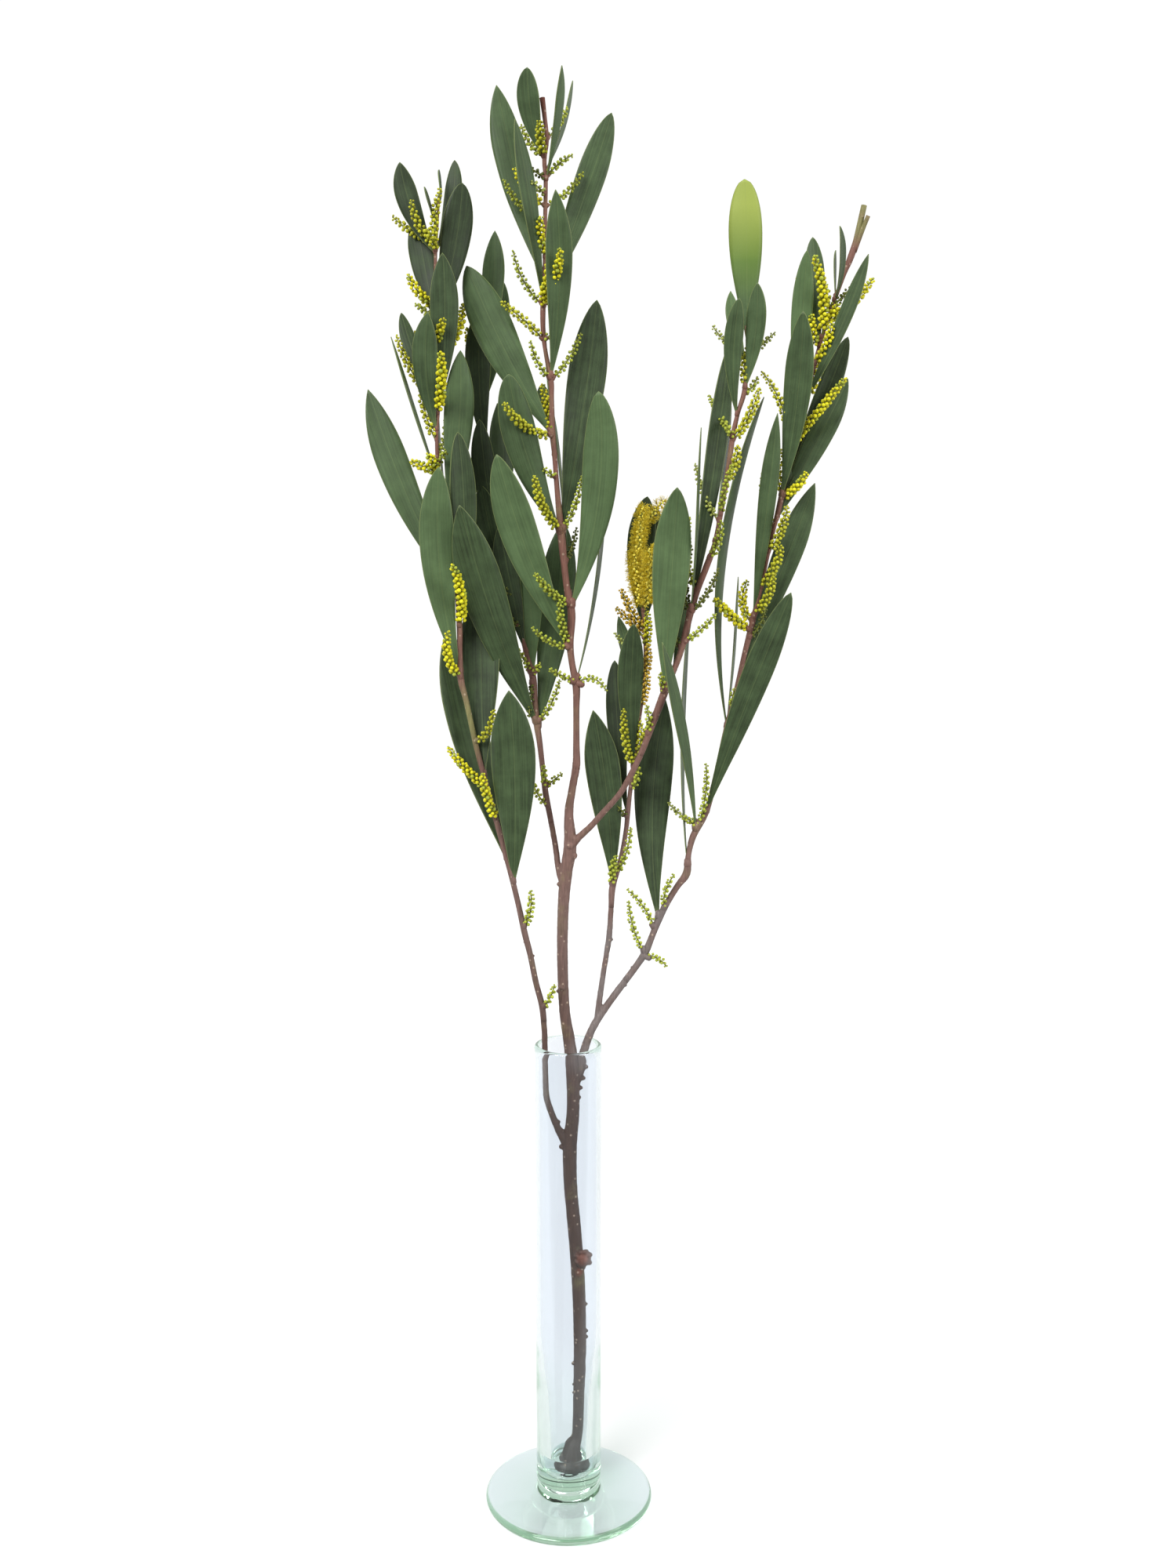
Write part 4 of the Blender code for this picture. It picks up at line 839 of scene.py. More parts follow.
def leaf_finish(settings):
    """Wattle phyllode: a leathery blade under a thin wax, which makes it a dull grey green. Many fine nerves
    run its length; two or three stand out paler, and a hair-thin horny margin catches the light."""
    material, tree, output = new_material("waxy leathery leaf")
    side, half, along, tone, young, seed = (
        add_node(tree, "ShaderNodeAttribute", attribute_name=name).outputs["Fac"] for name in LEAF_NUMBERS)
    place = add_node(tree, "ShaderNodeTexCoord").outputs["Object"]
    # Millimetres across the blade, millimetres along it shortened fifty times, and a place for each blade
    across, stretched, offset = (
        add_node(tree, "ShaderNodeMath", {0: first, 1: second}, operation="MULTIPLY").outputs[0]
        for first, second in ((side, half), (along, 0.02), (seed, 57.0)))
    strip = add_node(tree, "ShaderNodeCombineXYZ", {"X": across, "Y": stretched, "Z": offset}).outputs[0]
    # Fine nerves 0.9 mm apart with finer ones between, and patches of bloom from 10 mm down to 1 mm wide
    nerves, bloom = (
        add_node(tree, "ShaderNodeTexNoise", {
            "Vector": where, "Scale": scale, "Detail": detail, "Roughness": 0.6}).outputs["Fac"]
        for where, scale, detail in ((strip, 1.1, 3.0), (place, 95.0, 4.0)))
    varied, striped, rough = (
        add_node(tree, "ShaderNodeMapRange", {
            "Value": noise, "From Min": 0.3, "From Max": 0.7, "To Min": low, "To Max": high}).outputs[0]
        for noise, low, high in ((bloom, -0.14, 0.14), (nerves, -0.16, 0.16), (bloom, 0.42, 0.58)))
    # The blade's share of light green holds painted light and shade as well as its own tone; bloom and nerves
    # vary it
    mixed = add_node(tree, "ShaderNodeMath", {0: varied, 1: striped}, operation="ADD").outputs[0]
    share = add_node(tree, "ShaderNodeMath", {0: tone, 1: mixed}, operation="ADD", use_clamp=True).outputs[0]
    # A soft blade is full green halfway and yellows from there
    greening, yellowing = (
        add_node(tree, "ShaderNodeMapRange", {"Value": young, "From Min": low, "From Max": high}).outputs[0]
        for low, high in ((0.0, 0.5), (0.45, 1.0)))
    # Pale lines: distance from each in millimetres, where it starts to show and is full, strength and fade
    edge = add_node(tree, "ShaderNodeMath", {0: side}, operation="ABSOLUTE").outputs[0]
    edge = add_node(tree, "ShaderNodeMath", {0: 1.0, 1: edge}, operation="SUBTRACT").outputs[0]
    edge = add_node(tree, "ShaderNodeMath", {0: edge, 1: half}, operation="MULTIPLY").outputs[0]
    pale_lines = [(edge, 0.5, 0.1, 0.6, "SMOOTHSTEP"), (along, 9.0, 1.0, 0.6, "LINEAR")]
    for where, thick, strength in PALE_NERVES:
        away = add_node(tree, "ShaderNodeMath", {0: side, 1: where}, operation="SUBTRACT").outputs[0]
        away = add_node(tree, "ShaderNodeMath", {0: away, 1: half}, operation="MULTIPLY").outputs[0]
        away = add_node(tree, "ShaderNodeMath", {0: away}, operation="ABSOLUTE").outputs[0]
        pale_lines.append((away, thick, 0.05, strength, "SMOOTHSTEP"))
    lines = 0.0
    for away, start, full, strength, fade in pale_lines:
        line = add_node(tree, "ShaderNodeMapRange", {
            "Value": away, "From Min": start, "From Max": full, "To Max": strength},
            interpolation_type=fade).outputs[0]
        lines = add_node(tree, "ShaderNodeMath", {0: lines, 1: line}, operation="MAXIMUM").outputs[0]
    soft = add_node(tree, "ShaderNodeMix", {0: yellowing, 6: settings.tender, 7: settings.young},
                    data_type="RGBA").outputs[2]
    colour = settings.deep
    for amount, over in ((share, settings.lit), (greening, soft), (lines, settings.margin)):
        colour = add_node(tree, "ShaderNodeMix", {0: amount, 6: colour, 7: over}, data_type="RGBA").outputs[2]
    relief = add_node(tree, "ShaderNodeMath", {0: nerves, 1: lines}, operation="ADD").outputs[0]
    bump = add_node(tree, "ShaderNodeBump", {
        "Height": relief, "Strength": 0.5, "Distance": 0.12 * MM}).outputs[0]
    shader = add_node(tree, "ShaderNodeBsdfPrincipled", {
        "Base Color": colour, "Roughness": rough, "Normal": bump, "Specular IOR Level": 0.25, "IOR": 1.45})
    tree.links.new(shader.outputs[0], output.inputs["Surface"])
    return material


def bud_finish():
    """Wattle flower buds: tight, slightly glossy balls of folded petals, with painted shade towards the foot
    of each ball, where the buds crowd one another, and painted light on its outer pole, and the dull ribbed
    stalk that they stand on."""
    material, tree, output = new_material("closed flower buds")
    colour = add_node(tree, "ShaderNodeAttribute", attribute_name="hue_and_shade").outputs["Color"]
    tip = add_node(tree, "ShaderNodeAttribute", attribute_name="outward").outputs["Fac"]
    place = add_node(tree, "ShaderNodeTexCoord").outputs["Object"]
    # The folds of the petals, 0.7 mm wide
    folds = add_node(tree, "ShaderNodeTexNoise", {
        "Vector": place, "Scale": 1400.0, "Detail": 2.0}).outputs["Fac"]
    # Painted shade towards the foot of each bud, where the buds crowd, and painted light on its outer pole;
    # the folds vary it a little
    rim, light = (
        add_node(tree, "ShaderNodeMapRange", {
            "Value": value, "From Min": start, "From Max": end, "To Min": low, "To Max": 1.1}).outputs[0]
        for value, start, end, low in ((tip, -0.7, 0.7, 0.72), (folds, 0.3, 0.7, 0.88)))
    value = add_node(tree, "ShaderNodeMath", {0: rim, 1: light}, operation="MULTIPLY").outputs[0]
    shaded = add_node(tree, "ShaderNodeHueSaturation", {"Value": value, "Color": colour}).outputs[0]
    bump = add_node(tree, "ShaderNodeBump", {
        "Height": folds, "Strength": 0.4, "Distance": 0.1 * MM}).outputs[0]
    shader = add_node(tree, "ShaderNodeBsdfPrincipled", {
        "Base Color": shaded, "Roughness": 0.5, "Normal": bump, "Specular IOR Level": 0.3})
    tree.links.new(shader.outputs[0], output.inputs["Surface"])
    return material


def thread_finish(settings):
    """Stamens of wattle: hair-fine pale yellow threads that let light through, so that they read as fluff."""
    material, tree, output = new_material("stamen threads")
    along = add_node(tree, "ShaderNodeAttribute", attribute_name="outward").outputs["Fac"]
    colour = add_node(tree, "ShaderNodeMix", {0: along, 6: settings.thread_foot, 7: settings.thread},
                      data_type="RGBA").outputs[2]
    matt = add_node(tree, "ShaderNodeBsdfPrincipled", {
        "Base Color": colour, "Roughness": 0.7, "Specular IOR Level": 0.2})
    glowing = add_node(tree, "ShaderNodeBsdfTranslucent", {"Color": colour})
    shader = add_node(tree, "ShaderNodeMixShader", {0: 0.6, 1: matt.outputs[0], 2: glowing.outputs[0]})
    tree.links.new(shader.outputs[0], output.inputs["Surface"])
    return material


def bark_finish(settings):
    """Thin smooth bark of a young wattle: dull red brown on new wood, greyer and darker on older wood and on
    wet wood low down, both also painted shade for the wood inside the vase, with fine lengthwise cracks,
    pale corky dots and patches where the green layer shows through."""
    material, tree, output = new_material("smooth young bark")
    place = add_node(tree, "ShaderNodeTexCoord").outputs["Object"]
    height = add_node(tree, "ShaderNodeSeparateXYZ", {"Vector": place}).outputs["Z"]
    green, worn, scar = (
        add_node(tree, "ShaderNodeAttribute", attribute_name=name).outputs["Fac"]
        for name in ("green", "worn", "scar"))
    wet_and_shade_heights = ((WATER_TOP + WET_AND_SHADE_REACH) * MM, (WATER_TOP + WET_THROUGH) * MM)
    new, shoot, wet = (
        add_node(tree, "ShaderNodeMapRange", {"Value": height, "From Min": low, "From Max": top}).outputs[0]
        for low, top in (NEW_BARK, SHOOT_BARK, wet_and_shade_heights))
    # Cracks 0.9 mm apart across the stem, with finer ones between, and ten times as long
    stretch = add_node(tree, "ShaderNodeMapping", {"Vector": place, "Scale": (1.0, 1.0, 0.1)}).outputs[0]
    # Faint green patches 17 mm across, and the cracks
    patch, cracks = (
        add_node(tree, "ShaderNodeTexNoise", {
            "Vector": where, "Scale": scale, "Detail": detail, "Roughness": rough}).outputs["Fac"]
        for where, scale, detail, rough in ((place, 60.0, 4.0, 0.65), (stretch, 1100.0, 3.0, 0.6)))
    # Corky dots under a millimetre across, about 4 mm apart
    dots = add_node(tree, "ShaderNodeTexVoronoi", {"Vector": place, "Scale": 230.0}).outputs["Distance"]
    dots = add_node(tree, "ShaderNodeMapRange", {
        "Value": dots, "From Min": 0.2, "From Max": 0.1, "To Max": 0.5},
        interpolation_type="SMOOTHSTEP").outputs[0]
    stain, light = (
        add_node(tree, "ShaderNodeMapRange", {
            "Value": noise, "From Min": start, "From Max": full, "To Min": low, "To Max": high}).outputs[0]
        for noise, start, full, low, high in ((patch, 0.55, 0.75, 0.0, 0.35), (cracks, 0.3, 0.7, 0.72, 1.22)))
    stain = add_node(tree, "ShaderNodeMath", {0: green, 1: stain}, operation="MAXIMUM").outputs[0]
    # Darker low down: older and wet bark, which is also painted shade for the wood inside the vase
    colour = settings.old_and_shaded
    for amount, over in ((new, settings.new), (shoot, settings.shoot), (stain, settings.green),
                         (worn, settings.worn), (scar, settings.scar), (wet, settings.wet),
                         (dots, settings.cork)):
        colour = add_node(tree, "ShaderNodeMix", {0: amount, 6: colour, 7: over}, data_type="RGBA").outputs[2]
    colour = add_node(tree, "ShaderNodeHueSaturation", {"Value": light, "Color": colour}).outputs[0]
    relief = add_node(tree, "ShaderNodeMath", {0: cracks, 1: dots}, operation="ADD").outputs[0]
    bump = add_node(tree, "ShaderNodeBump", {
        "Height": relief, "Strength": 0.7, "Distance": 0.15 * MM}).outputs[0]
    shader = add_node(tree, "ShaderNodeBsdfPrincipled", {
        "Base Color": colour, "Roughness": 0.62, "Normal": bump, "Specular IOR Level": 0.35})
    tree.links.new(shader.outputs[0], output.inputs["Surface"])
    return material


def clear_finish(name, ior, face, tint, density):
    """A clear body that light is bent by and slowly tinted in. Lamps and the light that the floor and the
    bark scatter go straight through it, which keeps both as bright as under real glass, and light that has
    been thrown about inside leaks out, as it does where real glass is a little uneven."""
    material, tree, output = new_material(name)
    body = add_node(tree, "ShaderNodeBsdfPrincipled", {
        "Base Color": linear(face), "Roughness": 0.0, "IOR": ior, "Transmission Weight": 1.0})
    through = add_node(tree, "ShaderNodeBsdfTransparent", {"Color": linear("#FAFCFD")})
    path = add_node(tree, "ShaderNodeLightPath")
    straight = add_node(tree, "ShaderNodeMath", {
        0: path.outputs["Glossy Depth"], 1: LEAK_DEPTH - 0.5}, operation="GREATER_THAN").outputs[0]
    for ray in ("Is Shadow Ray", "Is Diffuse Ray"):
        straight = add_node(tree, "ShaderNodeMath", {0: straight, 1: path.outputs[ray]},
                            operation="MAXIMUM").outputs[0]
    surface = add_node(tree, "ShaderNodeMixShader", {0: straight, 1: body.outputs[0], 2: through.outputs[0]})
    inside = add_node(tree, "ShaderNodeVolumeAbsorption", {"Color": tint, "Density": density})
    tree.links.new(surface.outputs[0], output.inputs["Surface"])
    tree.links.new(inside.outputs[0], output.inputs["Volume"])
    return material


def floor_finish():
    """Graded studio board: matt white paint that darkens towards the front, so the glass mirrors no glare."""
    material, tree, output = new_material("graded white studio board")
    place = add_node(tree, "ShaderNodeTexCoord").outputs["Object"]
    front = add_node(tree, "ShaderNodeSeparateXYZ", {0: place}).outputs["Y"]
    start, full = FLOOR_GRADE
    white = add_node(tree, "ShaderNodeMapRange", {"Value": front, "From Min": start, "From Max": full},
                     interpolation_type="SMOOTHSTEP").outputs[0]
    colour = add_node(tree, "ShaderNodeMix", {0: white, 6: linear("#858585"), 7: linear("#E3E3E3")},
                      data_type="RGBA").outputs[2]
    # Paint laid on in strokes about 250 mm across
    uneven = add_node(tree, "ShaderNodeTexNoise", {"Vector": place, "Scale": 4.0}).outputs["Fac"]
    rough = add_node(tree, "ShaderNodeMapRange", {"Value": uneven, "To Min": 0.85, "To Max": 0.95}).outputs[0]
    shader = add_node(tree, "ShaderNodeBsdfPrincipled", {
        "Base Color": colour, "Roughness": rough, "Specular IOR Level": 0.1})
    tree.links.new(shader.outputs[0], output.inputs["Surface"])
    return material


def existing(name, make, *arguments):
    """The finish of that name, made the first time that it is asked for."""
    return bpy.data.materials.get(name) or make(*arguments)


# Pieces

def vase_profile():
    """Cavity floor, up the inner wall, over the lip, down the tube, over the foot and in to the axis."""
    lip = (TUBE_RADIUS - WALL / 2, VASE_HEIGHT - WALL / 2 - LIP_SWELL / 2)
    lip_foot = lip[1] - LIP_LENGTH
    edge = FOOT_THICKNESS / 2
    rim = FOOT_RADIUS - edge
    (inner, high), (outer, low) = FOOT_SLOPE
    slope = (high - low) / (outer - inner)
    cavity = [(0.0, CAVITY_FLOOR), *CAVITY, (CAVITY_RADIUS, CAVITY_STRAIGHT_FROM), (CAVITY_RADIUS, lip_foot)]
    return [
        *smooth_rows(cavity, CAVITY_STEP),
        *arc(lip, WALL / 2 + LIP_SWELL / 2, 165, 15, 12), (TUBE_RADIUS, lip_foot),
        *((BEAD_RADIUS + out, BEAD_TOP + up) for out, up in BEAD),
        *((BEAD_RADIUS + out, FOOT_RISE + up) for out, up in NECK),
        *((radius, low + slope * (outer - radius)) for radius in (inner, *FOOT_SLOPE_POINTS, outer)),
        (rim, FOOT_THICKNESS), *arc((rim, edge), edge, 70, -70, 9), (rim, 0.0), (0.0, 0.0),
    ]


def water_profile():
    """A flat top that climbs a little at the wall, then down against the cavity to its floor."""
    cavity = smooth_rows([(0.0, CAVITY_FLOOR), *CAVITY], WATER_STEP)
    wet = [(radius + WATER_OVERLAP, height) for radius, height in cavity[1:] if height < WATER_TOP]
    wall = wet[-1][0] + EDGE_OVERLAP
    climb = [(wall - away, WATER_TOP + rise) for away, rise in WATER_EDGE]
    return [(0.0, WATER_TOP), *climb, *reversed(wet), (0.0, CAVITY_FLOOR - WATER_OVERLAP)]


def paint_bark(item):
    """Mark at each vertex how far the bark has kept its green, how far it is scar and how far it is worn."""
    places = points_of(item)
    for name, patches in (("green", GREEN_BARK), ("scar", SCARS), ("worn", WORN_BARK)):
        share = np.zeros(len(places))
        for x, height, depth, reach in patches:
            away = np.linalg.norm(places - np.array(seen(x, height, depth)), axis=1) / (reach * MM)
            share = np.maximum(share, np.clip(PATCH_EDGE * (1 - away), 0, 1))
        mark(item, name, share)


def leaf_blank():
    """A flat leaf, one unit long and one wide: a grid whose rows are drawn in to the outline."""
    bpy.ops.mesh.primitive_grid_add(x_subdivisions=LEAF_ACROSS, y_subdivisions=LEAF_ROWS, size=1.0)
    blank = bpy.context.object
    bpy.ops.object.mode_set(mode="EDIT")
    for row in range(LEAF_ROWS + 1):
        place = row / LEAF_ROWS - 0.5
        pick(lambda co, place=place: abs(co.y - place) < 0.2 / LEAF_ROWS)
        bpy.ops.transform.resize(value=(outline_share(row_share(row / LEAF_ROWS)), 1.0, 1.0),
                                 center_override=(0.0, place, 0.0))
    bpy.ops.object.mode_set(mode="OBJECT")
    return blank


def row_share(u):
    """Place along the leaf of a row of the blank: rows stand closer at both ends."""
    return u * (1 - ROW_CROWDING) + (0.5 - 0.5 * math.cos(math.pi * u)) * ROW_CROWDING


def lay_leaf(leaf, stations, base, settings, draw):
    """Points and surface numbers of the blank, laid from its shoot to its tip, turned, cupped and rippled."""
    root, tip = ends_of(leaf, stations)
    length, half = (tip - root).length, leaf.width * MM / 2
    cup = settings.cup * draw.choice((-1, 1)) * draw.uniform(*CUPPED)
    ripple, phase, phase_2 = draw.uniform(*RIPPLES), draw.uniform(0, math.tau), draw.uniform(0, math.tau)
    sway, curl, seed = draw.uniform(-SWAY, SWAY) * MM, draw.uniform(-CURL, CURL), draw.random()
    # The given share of light green, painted light and shade with the blade's own tone, spread a little at
    # random
    tone = min(1.0, max(0.0, leaf.tone + draw.uniform(-TONE_SPREAD, TONE_SPREAD)))
    point = BLUNT if leaf.young else draw.uniform(*POINTED)
    wave = settings.wave * (leaf.width / RIPPLED_WIDTH) ** 2 * max(0.0, math.cos(math.radians(leaf.turn)))
    frames, points, numbers = {}, [], []
    for x, y, _ in base:
        u = round(float(y) + 0.5, 5)
        if u not in frames:
            t = row_share(u)
            middle, along, across = bowed_frame(root, tip, leaf.bow, t)
            turn = Matrix.Rotation(math.radians(leaf.turn + leaf.twist * t + curl * (t - 0.5)), 3, along)
            frames[u] = t, middle, turn @ across, (turn @ across).cross(along)
        t, middle, across, normal = frames[u]
        side, share = 2 * float(x) / outline_share(t), outline_share(t, point)
        wide = half * share
        lift = cup * 2 * wide * side * side
        lift += sway * math.sin(math.pi * SWAY_BENDS * t + phase) * t * (SWAY_END - t)
        lift += wave * side**2 * math.sin(math.tau * ripple * t + (phase if side > 0 else phase_2)) * share
        points.append(middle + across * (side * wide) + normal * lift)
        soft = leaf.young * min(1.0, max(0.0, (t - SOFT_FROM) / SOFT_LENGTH)) ** SOFT_POWER
        numbers.append((side, wide / MM, t * length / MM, tone, soft, seed))
    return points, numbers


def bud_blank():
    """A bud one unit across: a ball with its outer pole drawn out a little and its foot drawn in."""
    bpy.ops.mesh.primitive_uv_sphere_add(segments=8, ring_count=5, radius=0.5, location=(0, 0, 0))
    blank = bpy.context.object
    bpy.ops.object.mode_set(mode="EDIT")
    pick(lambda co: co.z > 0.45)
    bpy.ops.transform.translate(value=(0.0, 0.0, 0.08))
    pick(lambda co: co.z < -0.3)
    bpy.ops.transform.resize(value=(0.75, 0.75, 1.0), center_override=(0.0, 0.0, -0.35))
    bpy.ops.object.mode_set(mode="OBJECT")
    return blank


def thread_blank():
    """A stamen one unit long, from a three-sided rod with a small knob at its end."""
    bpy.ops.mesh.primitive_cylinder_add(vertices=3, radius=0.022, depth=0.92, location=(0, 0, 0.46))
    blank = bpy.context.object
    bpy.ops.object.transform_apply(location=True)
    bpy.ops.object.mode_set(mode="EDIT")
    bpy.ops.mesh.select_mode(type="VERT")
    pick(lambda co: co.z > 0.9)
    bpy.ops.mesh.extrude_region_move(TRANSFORM_OT_translate={"value": (0.0, 0.0, 0.05)})
    bpy.ops.transform.resize(value=(2.4, 2.4, 1.0))
    bpy.ops.mesh.extrude_region_move(TRANSFORM_OT_translate={"value": (0.0, 0.0, 0.05)})
    bpy.ops.transform.resize(value=(0.5, 0.5, 1.0))
    bpy.ops.object.mode_set(mode="OBJECT")
    return blank


def spike_frames(spike, stations, draw):
    """For every bud of a spike, turned by the golden angle from the last: its 4 x 4 frame, its share of the
    way along the spike, its way out and its size."""
    kind = SPIKE_KINDS[spike.kind]
    root, tip = ends_of(spike, stations)
    count = max(FEWEST_BUDS, round((tip - root).length / MM * kind.per_mm))
    start = draw.uniform(0, math.tau)
    for number in range(count):
        t = STALK_BARE + (1 - STALK_BARE) * (number + 0.5) / count
        middle, along, across = bowed_frame(root, tip, spike.bow, t)
        spin = Matrix.Rotation(start + number * GOLDEN_ANGLE + draw.uniform(-BUD_TURN, BUD_TURN), 3, along)
        outward = (spin @ across + along * draw.uniform(*BUD_LEAN)).normalized()
        taper = 1.0
        for from_end, (smallest, growth) in ((1 - t, TIP_BUDS), (t, FOOT_BUDS)):
            taper *= min(1.0, smallest + growth * from_end)
        size = kind.bud * MM * taper * draw.uniform(*BUD_SIZES)
        reach = kind.reach * MM * taper * draw.uniform(*BUD_REACHES)
        turn = outward.to_track_quat("Z", "Y").to_matrix() @ Matrix.Diagonal((size, size, size))
        bud_frame = turn.to_4x4()
        # A bud's outer pole is at its reach, and the last buds sit on the end of the stalk
        out = reach - size / 2 if t < STALK_END else STALK_END_OUT * size
        bud_frame.translation = middle + outward * out
        yield bud_frame, t, outward, size


def spike_stalk(spike, stations):
    """The slim stalk of a spike."""
    root, tip = ends_of(spike, stations)
    steps = max(4, round((tip - root).length / (STALK_STEP * MM)))
    rows = [Station(bowed(root, tip, spike.bow, i / steps), (STALK_RADIUS - STALK_TAPER * i / steps) * MM, i)
            for i in range(steps + 1)]
    return rod("stalk", rows, STALK_RESOLUTION)


# Operators

class WATTLE_OT_add_vase(bpy.types.Operator):
    """Spin the clear glass vase from its profile"""

    bl_idname = "wattle.add_vase"
    bl_label = "Glass vase"

    def execute(self, context):
        settings = context.scene.wattle_glass
        vase = spun("vase_glass", vase_profile())
        glass = clear_finish("hand-drawn green-tinged glass", GLASS_IOR, "#F3F6FC", settings.tint,
                             settings.density)
        finished(vase, "glass", glass, "vase", angle=CREASE_ANGLE)
        return {"FINISHED"}


class WATTLE_OT_add_water(bpy.types.Operator):
    """Fill the bottom of the vase with water"""

    bl_idname = "wattle.add_water"
    bl_label = "Water"

    def execute(self, context):
        settings = context.scene.wattle_glass
        water = spun("vase_water", water_profile())
        still = clear_finish("still water", WATER_IOR, "#FFFFFF", settings.water_tint,
                             settings.water_density)
        finished(water, "water", still, "water", angle=CREASE_ANGLE)
        return {"FINISHED"}


class WATTLE_OT_add_branch(bpy.types.Operator):
    """Fuse the forked bare wood with its knot and scars"""

    bl_idname = "wattle.add_branch"
    bl_label = "Bare wood"

    def execute(self, context):
        settings = context.scene.wattle_wood
        pieces = []
        for shoot in SHOOTS:
            stations = [item for item in smoothed(shoot.route) if item.height <= shoot.butt + BUTT_OVERLAP]
            pieces.append(rod("wood", stations, TRUNK_RESOLUTION))
        pieces += [lump("bump", *bump) for bump in BUMPS]
        branch = joined("bare_wood", pieces)
        modified(branch, "REMESH", mode="VOXEL", voxel_size=settings.voxel)
        modified(branch, "SMOOTH", factor=0.5, iterations=3)
        grain = bpy.data.textures.new("uneven bark", "CLOUDS")
        grain.noise_scale = GRAIN
        modified(branch, "DISPLACE", texture=grain, texture_coords="LOCAL", strength=settings.relief,
                 mid_level=0.5)
        paint_bark(branch)
        finished(branch, "bark", existing("smooth young bark", bark_finish, settings), "branch")
        return {"FINISHED"}


class WATTLE_OT_add_twigs(bpy.types.Operator):
    """Draw the wood of the leafy shoots, swollen where leaves and spikes leave it"""

    bl_idname = "wattle.add_twigs"
    bl_label = "Leafy wood"

    def execute(self, context):
        settings = context.scene.wattle_wood
        for shoot in SHOOTS:
            stations = smoothed(shoot.route)
            wood = [item for item in stations if item.height > shoot.butt - BUTT_OVERLAP]
            pieces = [rod("wood", wood, TWIG_RESOLUTION)]
            for growth in (*shoot.leaves, *shoot.spikes):
                station = station_at(stations, growth.height)
                toward = (seen(growth.tip_x, growth.tip_z, growth.depth) - station.place).normalized()
                pieces.append(self.swelling(station, toward, isinstance(growth, Leaf)))
            if shoot is RIGHT:
                pieces.append(rod("stub", smoothed(STUB_ROUTE), TWIG_RESOLUTION))
            twigs = joined(shoot.name + "_wood", pieces)
            paint_bark(twigs)
            finished(twigs, "bark", existing("smooth young bark", bark_finish, settings))
        return {"FINISHED"}

    @staticmethod
    def swelling(station, toward, of_leaf):
        """The small cushion of bark under a leaf or a spike."""
        size = station.radius * (LEAF_CUSHION if of_leaf else SPIKE_CUSHION) + CUSHION_ADDED * MM
        bpy.ops.mesh.primitive_uv_sphere_add(
            segments=10, ring_count=6, radius=size,
            location=station.place + toward * (CUSHION_OUT * station.radius))
        item = bpy.context.object
        item.rotation_euler = toward.to_track_quat("Z", "Y").to_euler()
        bpy.ops.object.mode_set(mode="EDIT")
        pick(lambda co: co.z > CUSHION_DRAWN_FROM * size)
        bpy.ops.transform.translate(value=toward * size * CUSHION_DRAWN)
        bpy.ops.object.mode_set(mode="OBJECT")
        return item


class WATTLE_OT_add_leaves(bpy.types.Operator):
    """Lay the leaf blades of every shoot"""

    bl_idname = "wattle.add_leaves"
    bl_label = "Leaves"

    def execute(self, context):
        settings = context.scene.wattle_leaf
        blank = leaf_blank()
        base = points_of(blank)
        corners = [tuple(face.vertices) for face in blank.data.polygons]
        bpy.data.objects.remove(blank, do_unlink=True)
        for number, shoot in enumerate(SHOOTS):
            draw = random.Random(100 + number)
            stations = smoothed(shoot.route)
            points, faces, numbers = [], [], []
            for leaf in shoot.leaves:
                faces += [tuple(corner + len(points) for corner in face) for face in corners]
                places, values = lay_leaf(leaf, stations, base, settings, draw)
                points += places
                numbers += values
            leaves = mesh_of(shoot.name + "_leaves", points, faces, dict(zip(LEAF_NUMBERS, zip(*numbers))))
            modified(leaves, "SOLIDIFY", thickness=settings.thickness, offset=0.0)
            finished(leaves, "foliage", existing("waxy leathery leaf", leaf_finish, settings), shoot.name)
        return {"FINISHED"}


class WATTLE_OT_add_buds(bpy.types.Operator):
    """Set the closed buds of every flower spike on its stalk"""

    bl_idname = "wattle.add_buds"
    bl_label = "Flower buds"

    def execute(self, context):
        settings = context.scene.wattle_bud
        blank = bud_blank()
        heights = points_of(blank)[:, 2] * 2
        for number, shoot in enumerate(SHOOTS):
            draw = random.Random(200 + number)
            stations = smoothed(shoot.route)
            frames, hues_and_shades = [], []
            for spike in shoot.spikes:
                kind = SPIKE_KINDS[spike.kind]
                own = np.array(getattr(settings, kind.colour))
                next_own = np.array(getattr(settings, "green" if kind.colour == "gold" else kind.colour))
                for bud_frame, t, _, _ in spike_frames(spike, stations, draw):
                    unripe = draw.random() < UNRIPE + UNRIPE_TIP * (t > TIP_FROM)
                    frames.append(bud_frame)
                    # The kind's shade factor is painted shade for spikes in shadow; each bud's tone also
                    # differs at random
                    hues_and_shades.append((next_own if unripe else own) * kind.shade * draw.uniform(*BUD_SHADES))
            points, faces = stamped(blank, frames)
            buds = mesh_of("buds", points, faces, {
                "hue_and_shade": np.repeat(hues_and_shades, len(heights), axis=0), "outward": np.tile(heights, len(frames))})
            stalks = joined("stalks", [spike_stalk(spike, stations) for spike in shoot.spikes])
            count = len(stalks.data.vertices)
            mark(stalks, "hue_and_shade", np.tile(settings.stalk, (count, 1)))
            mark(stalks, "outward", np.full(count, STALK_SHADE))
            finished(joined(shoot.name + "_buds", [buds, stalks]), "blossom",
                     existing("closed flower buds", bud_finish))
        bpy.data.objects.remove(blank, do_unlink=True)
        return {"FINISHED"}


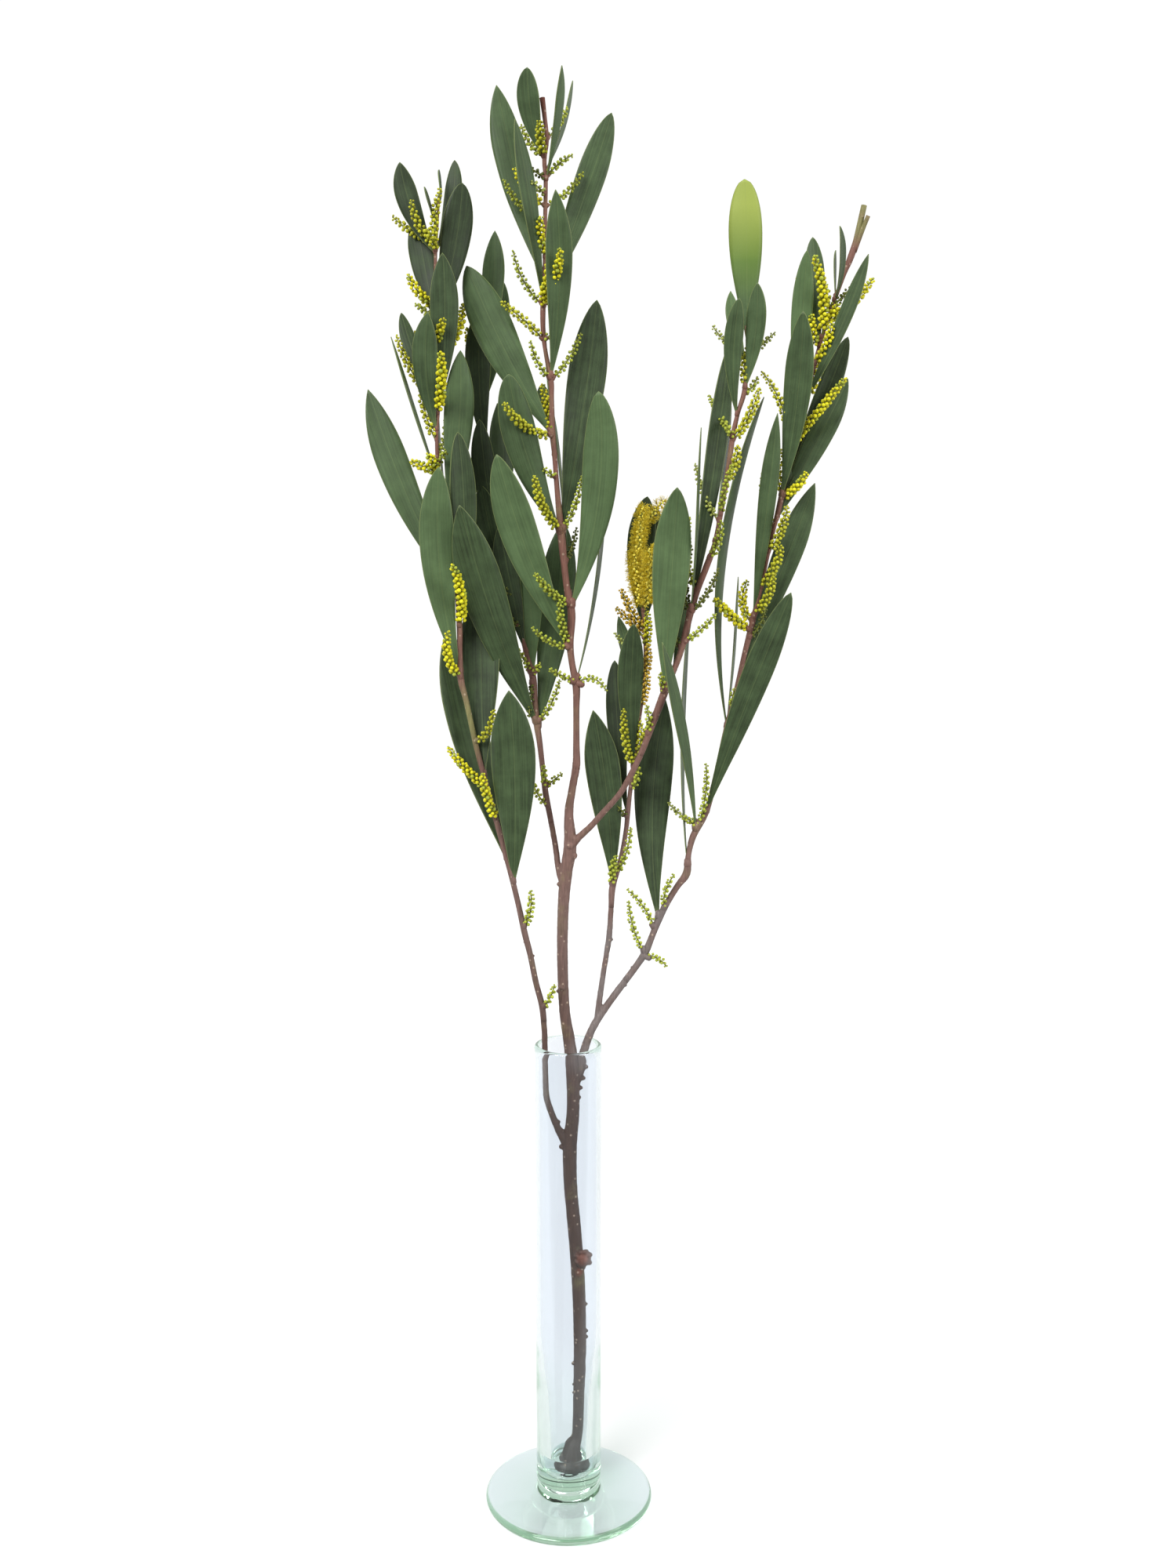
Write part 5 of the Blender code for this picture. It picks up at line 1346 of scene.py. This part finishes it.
class WATTLE_OT_add_threads(bpy.types.Operator):
    """Open the flowers of the ripest spikes into fluffy threads"""

    bl_idname = "wattle.add_threads"
    bl_label = "Open flowers"

    def execute(self, context):
        settings = context.scene.wattle_bud
        blank = thread_blank()
        heights = points_of(blank)[:, 2]
        draw = random.Random(300)
        for shoot in SHOOTS:
            stations = smoothed(shoot.route)
            frames = []
            for spike in (item for item in shoot.spikes if item.kind == "open"):
                for bud_frame, _, outward, size in spike_frames(spike, stations, draw):
                    if draw.random() < DROPPED:
                        continue
                    for _ in range(FLORET_THREADS):
                        loose = Vector([draw.gauss(0, THREAD_SPREAD) for _ in range(3)])
                        turn = (outward + loose).normalized().to_track_quat("Z", "Y").to_matrix()
                        long = settings.thread_length * draw.uniform(*THREAD_LENGTHS)
                        thread = (turn @ Matrix.Diagonal((long,) * 3)).to_4x4()
                        thread.translation = bud_frame.translation + outward * (THREADS_OUT * size)
                        frames.append(thread)
            if frames:
                points, faces = stamped(blank, frames)
                threads = mesh_of(shoot.name + "_open_flowers", points, faces,
                                  {"outward": np.tile(heights, len(frames))})
                finished(threads, "blossom", existing("stamen threads", thread_finish, settings))
        bpy.data.objects.remove(blank, do_unlink=True)
        return {"FINISHED"}


class WATTLE_OT_set_stage(bpy.types.Operator):
    """Lay the white floor, and set the soft light and the camera"""

    bl_idname = "wattle.set_stage"
    bl_label = "Floor, light and camera"

    def execute(self, context):
        settings = context.scene.wattle_stage
        bpy.ops.mesh.primitive_grid_add(x_subdivisions=8, y_subdivisions=8, size=settings.floor_size)
        floor = bpy.context.object
        floor.name = floor.data.name = "studio_floor"
        floor.data.materials.append(floor_finish())
        bpy.ops.transform.translate(value=(0.0, 0.0, -settings.floor_gap))
        world = bpy.data.worlds.new("white room")
        world.use_nodes = True
        way = add_node(world.node_tree, "ShaderNodeTexCoord").outputs["Generated"]
        way = add_node(world.node_tree, "ShaderNodeSeparateXYZ", {0: way})
        front, back = ROOM_GRADE
        glow = add_node(world.node_tree, "ShaderNodeMapRange", {
            "Value": way.outputs["Y"], "From Min": front, "From Max": back, "To Min": settings.room,
            "To Max": settings.sky})
        background = world.node_tree.nodes["Background"]
        background.inputs["Color"].default_value = (*linear("#FFFFFF"), 1.0)
        world.node_tree.links.new(glow.outputs[0], background.inputs["Strength"])
        context.scene.world = world
        context.scene.view_settings.view_transform = "Standard"
        self.add_light("key light", KEY_PLACE, settings.key)
        self.add_light("fill light", FILL_PLACE, settings.fill)
        bpy.ops.object.camera_add(location=EYE * MM, rotation=(math.radians(90 - CAMERA_DIP), 0.0, 0.0))
        camera = bpy.context.object
        camera.data.lens = CAMERA_LENS
        camera.data.sensor_width = CAMERA_SENSOR
        camera.data.clip_start = 0.01
        context.scene.camera = camera
        deselect()
        return {"FINISHED"}

    @staticmethod
    def add_light(name, place, strength):
        """A broad soft light, as from a very large screen far off on that side."""
        bpy.ops.object.light_add(type="SUN", location=place)
        light = bpy.context.object
        light.name = name
        light.rotation_euler = place.to_track_quat("Z", "Y").to_euler()
        light.data.angle = math.radians(LIGHT_SPREAD)
        light.data.energy = strength


OPERATORS = (
    WATTLE_OT_add_vase, WATTLE_OT_add_water, WATTLE_OT_add_branch, WATTLE_OT_add_twigs, WATTLE_OT_add_leaves,
    WATTLE_OT_add_buds, WATTLE_OT_add_threads, WATTLE_OT_set_stage,
)


class WATTLE_PT_sidebar(bpy.types.Panel):
    """Buttons for the pieces, in the order in which they are made"""

    bl_idname = "WATTLE_PT_sidebar"
    bl_label = "Wattle in a vase"
    bl_space_type = "VIEW_3D"
    bl_region_type = "UI"
    bl_category = "Wattle"

    def draw(self, context):
        for operator in OPERATORS:
            self.layout.operator(operator.bl_idname)
        for holder, group in SETTINGS.items():
            box = self.layout.box()
            for name in group.__annotations__:
                box.prop(getattr(context.scene, holder), name)


def register():
    for group in SETTINGS.values():
        bpy.utils.register_class(group)
    for holder, group in SETTINGS.items():
        setattr(bpy.types.Scene, holder, PointerProperty(type=group))
    for operator in OPERATORS:
        bpy.utils.register_class(operator)
    bpy.utils.register_class(WATTLE_PT_sidebar)


def unregister():
    bpy.utils.unregister_class(WATTLE_PT_sidebar)
    for operator in reversed(OPERATORS):
        bpy.utils.unregister_class(operator)
    for holder, group in SETTINGS.items():
        delattr(bpy.types.Scene, holder)
        bpy.utils.unregister_class(group)


def main():
    register()
    bpy.ops.wattle.add_vase()
    bpy.ops.wattle.add_water()
    bpy.ops.wattle.add_branch()
    bpy.ops.wattle.add_twigs()
    bpy.ops.wattle.add_leaves()
    bpy.ops.wattle.add_buds()
    bpy.ops.wattle.add_threads()
    bpy.ops.wattle.set_stage()


if __name__ == "__main__":
    main()
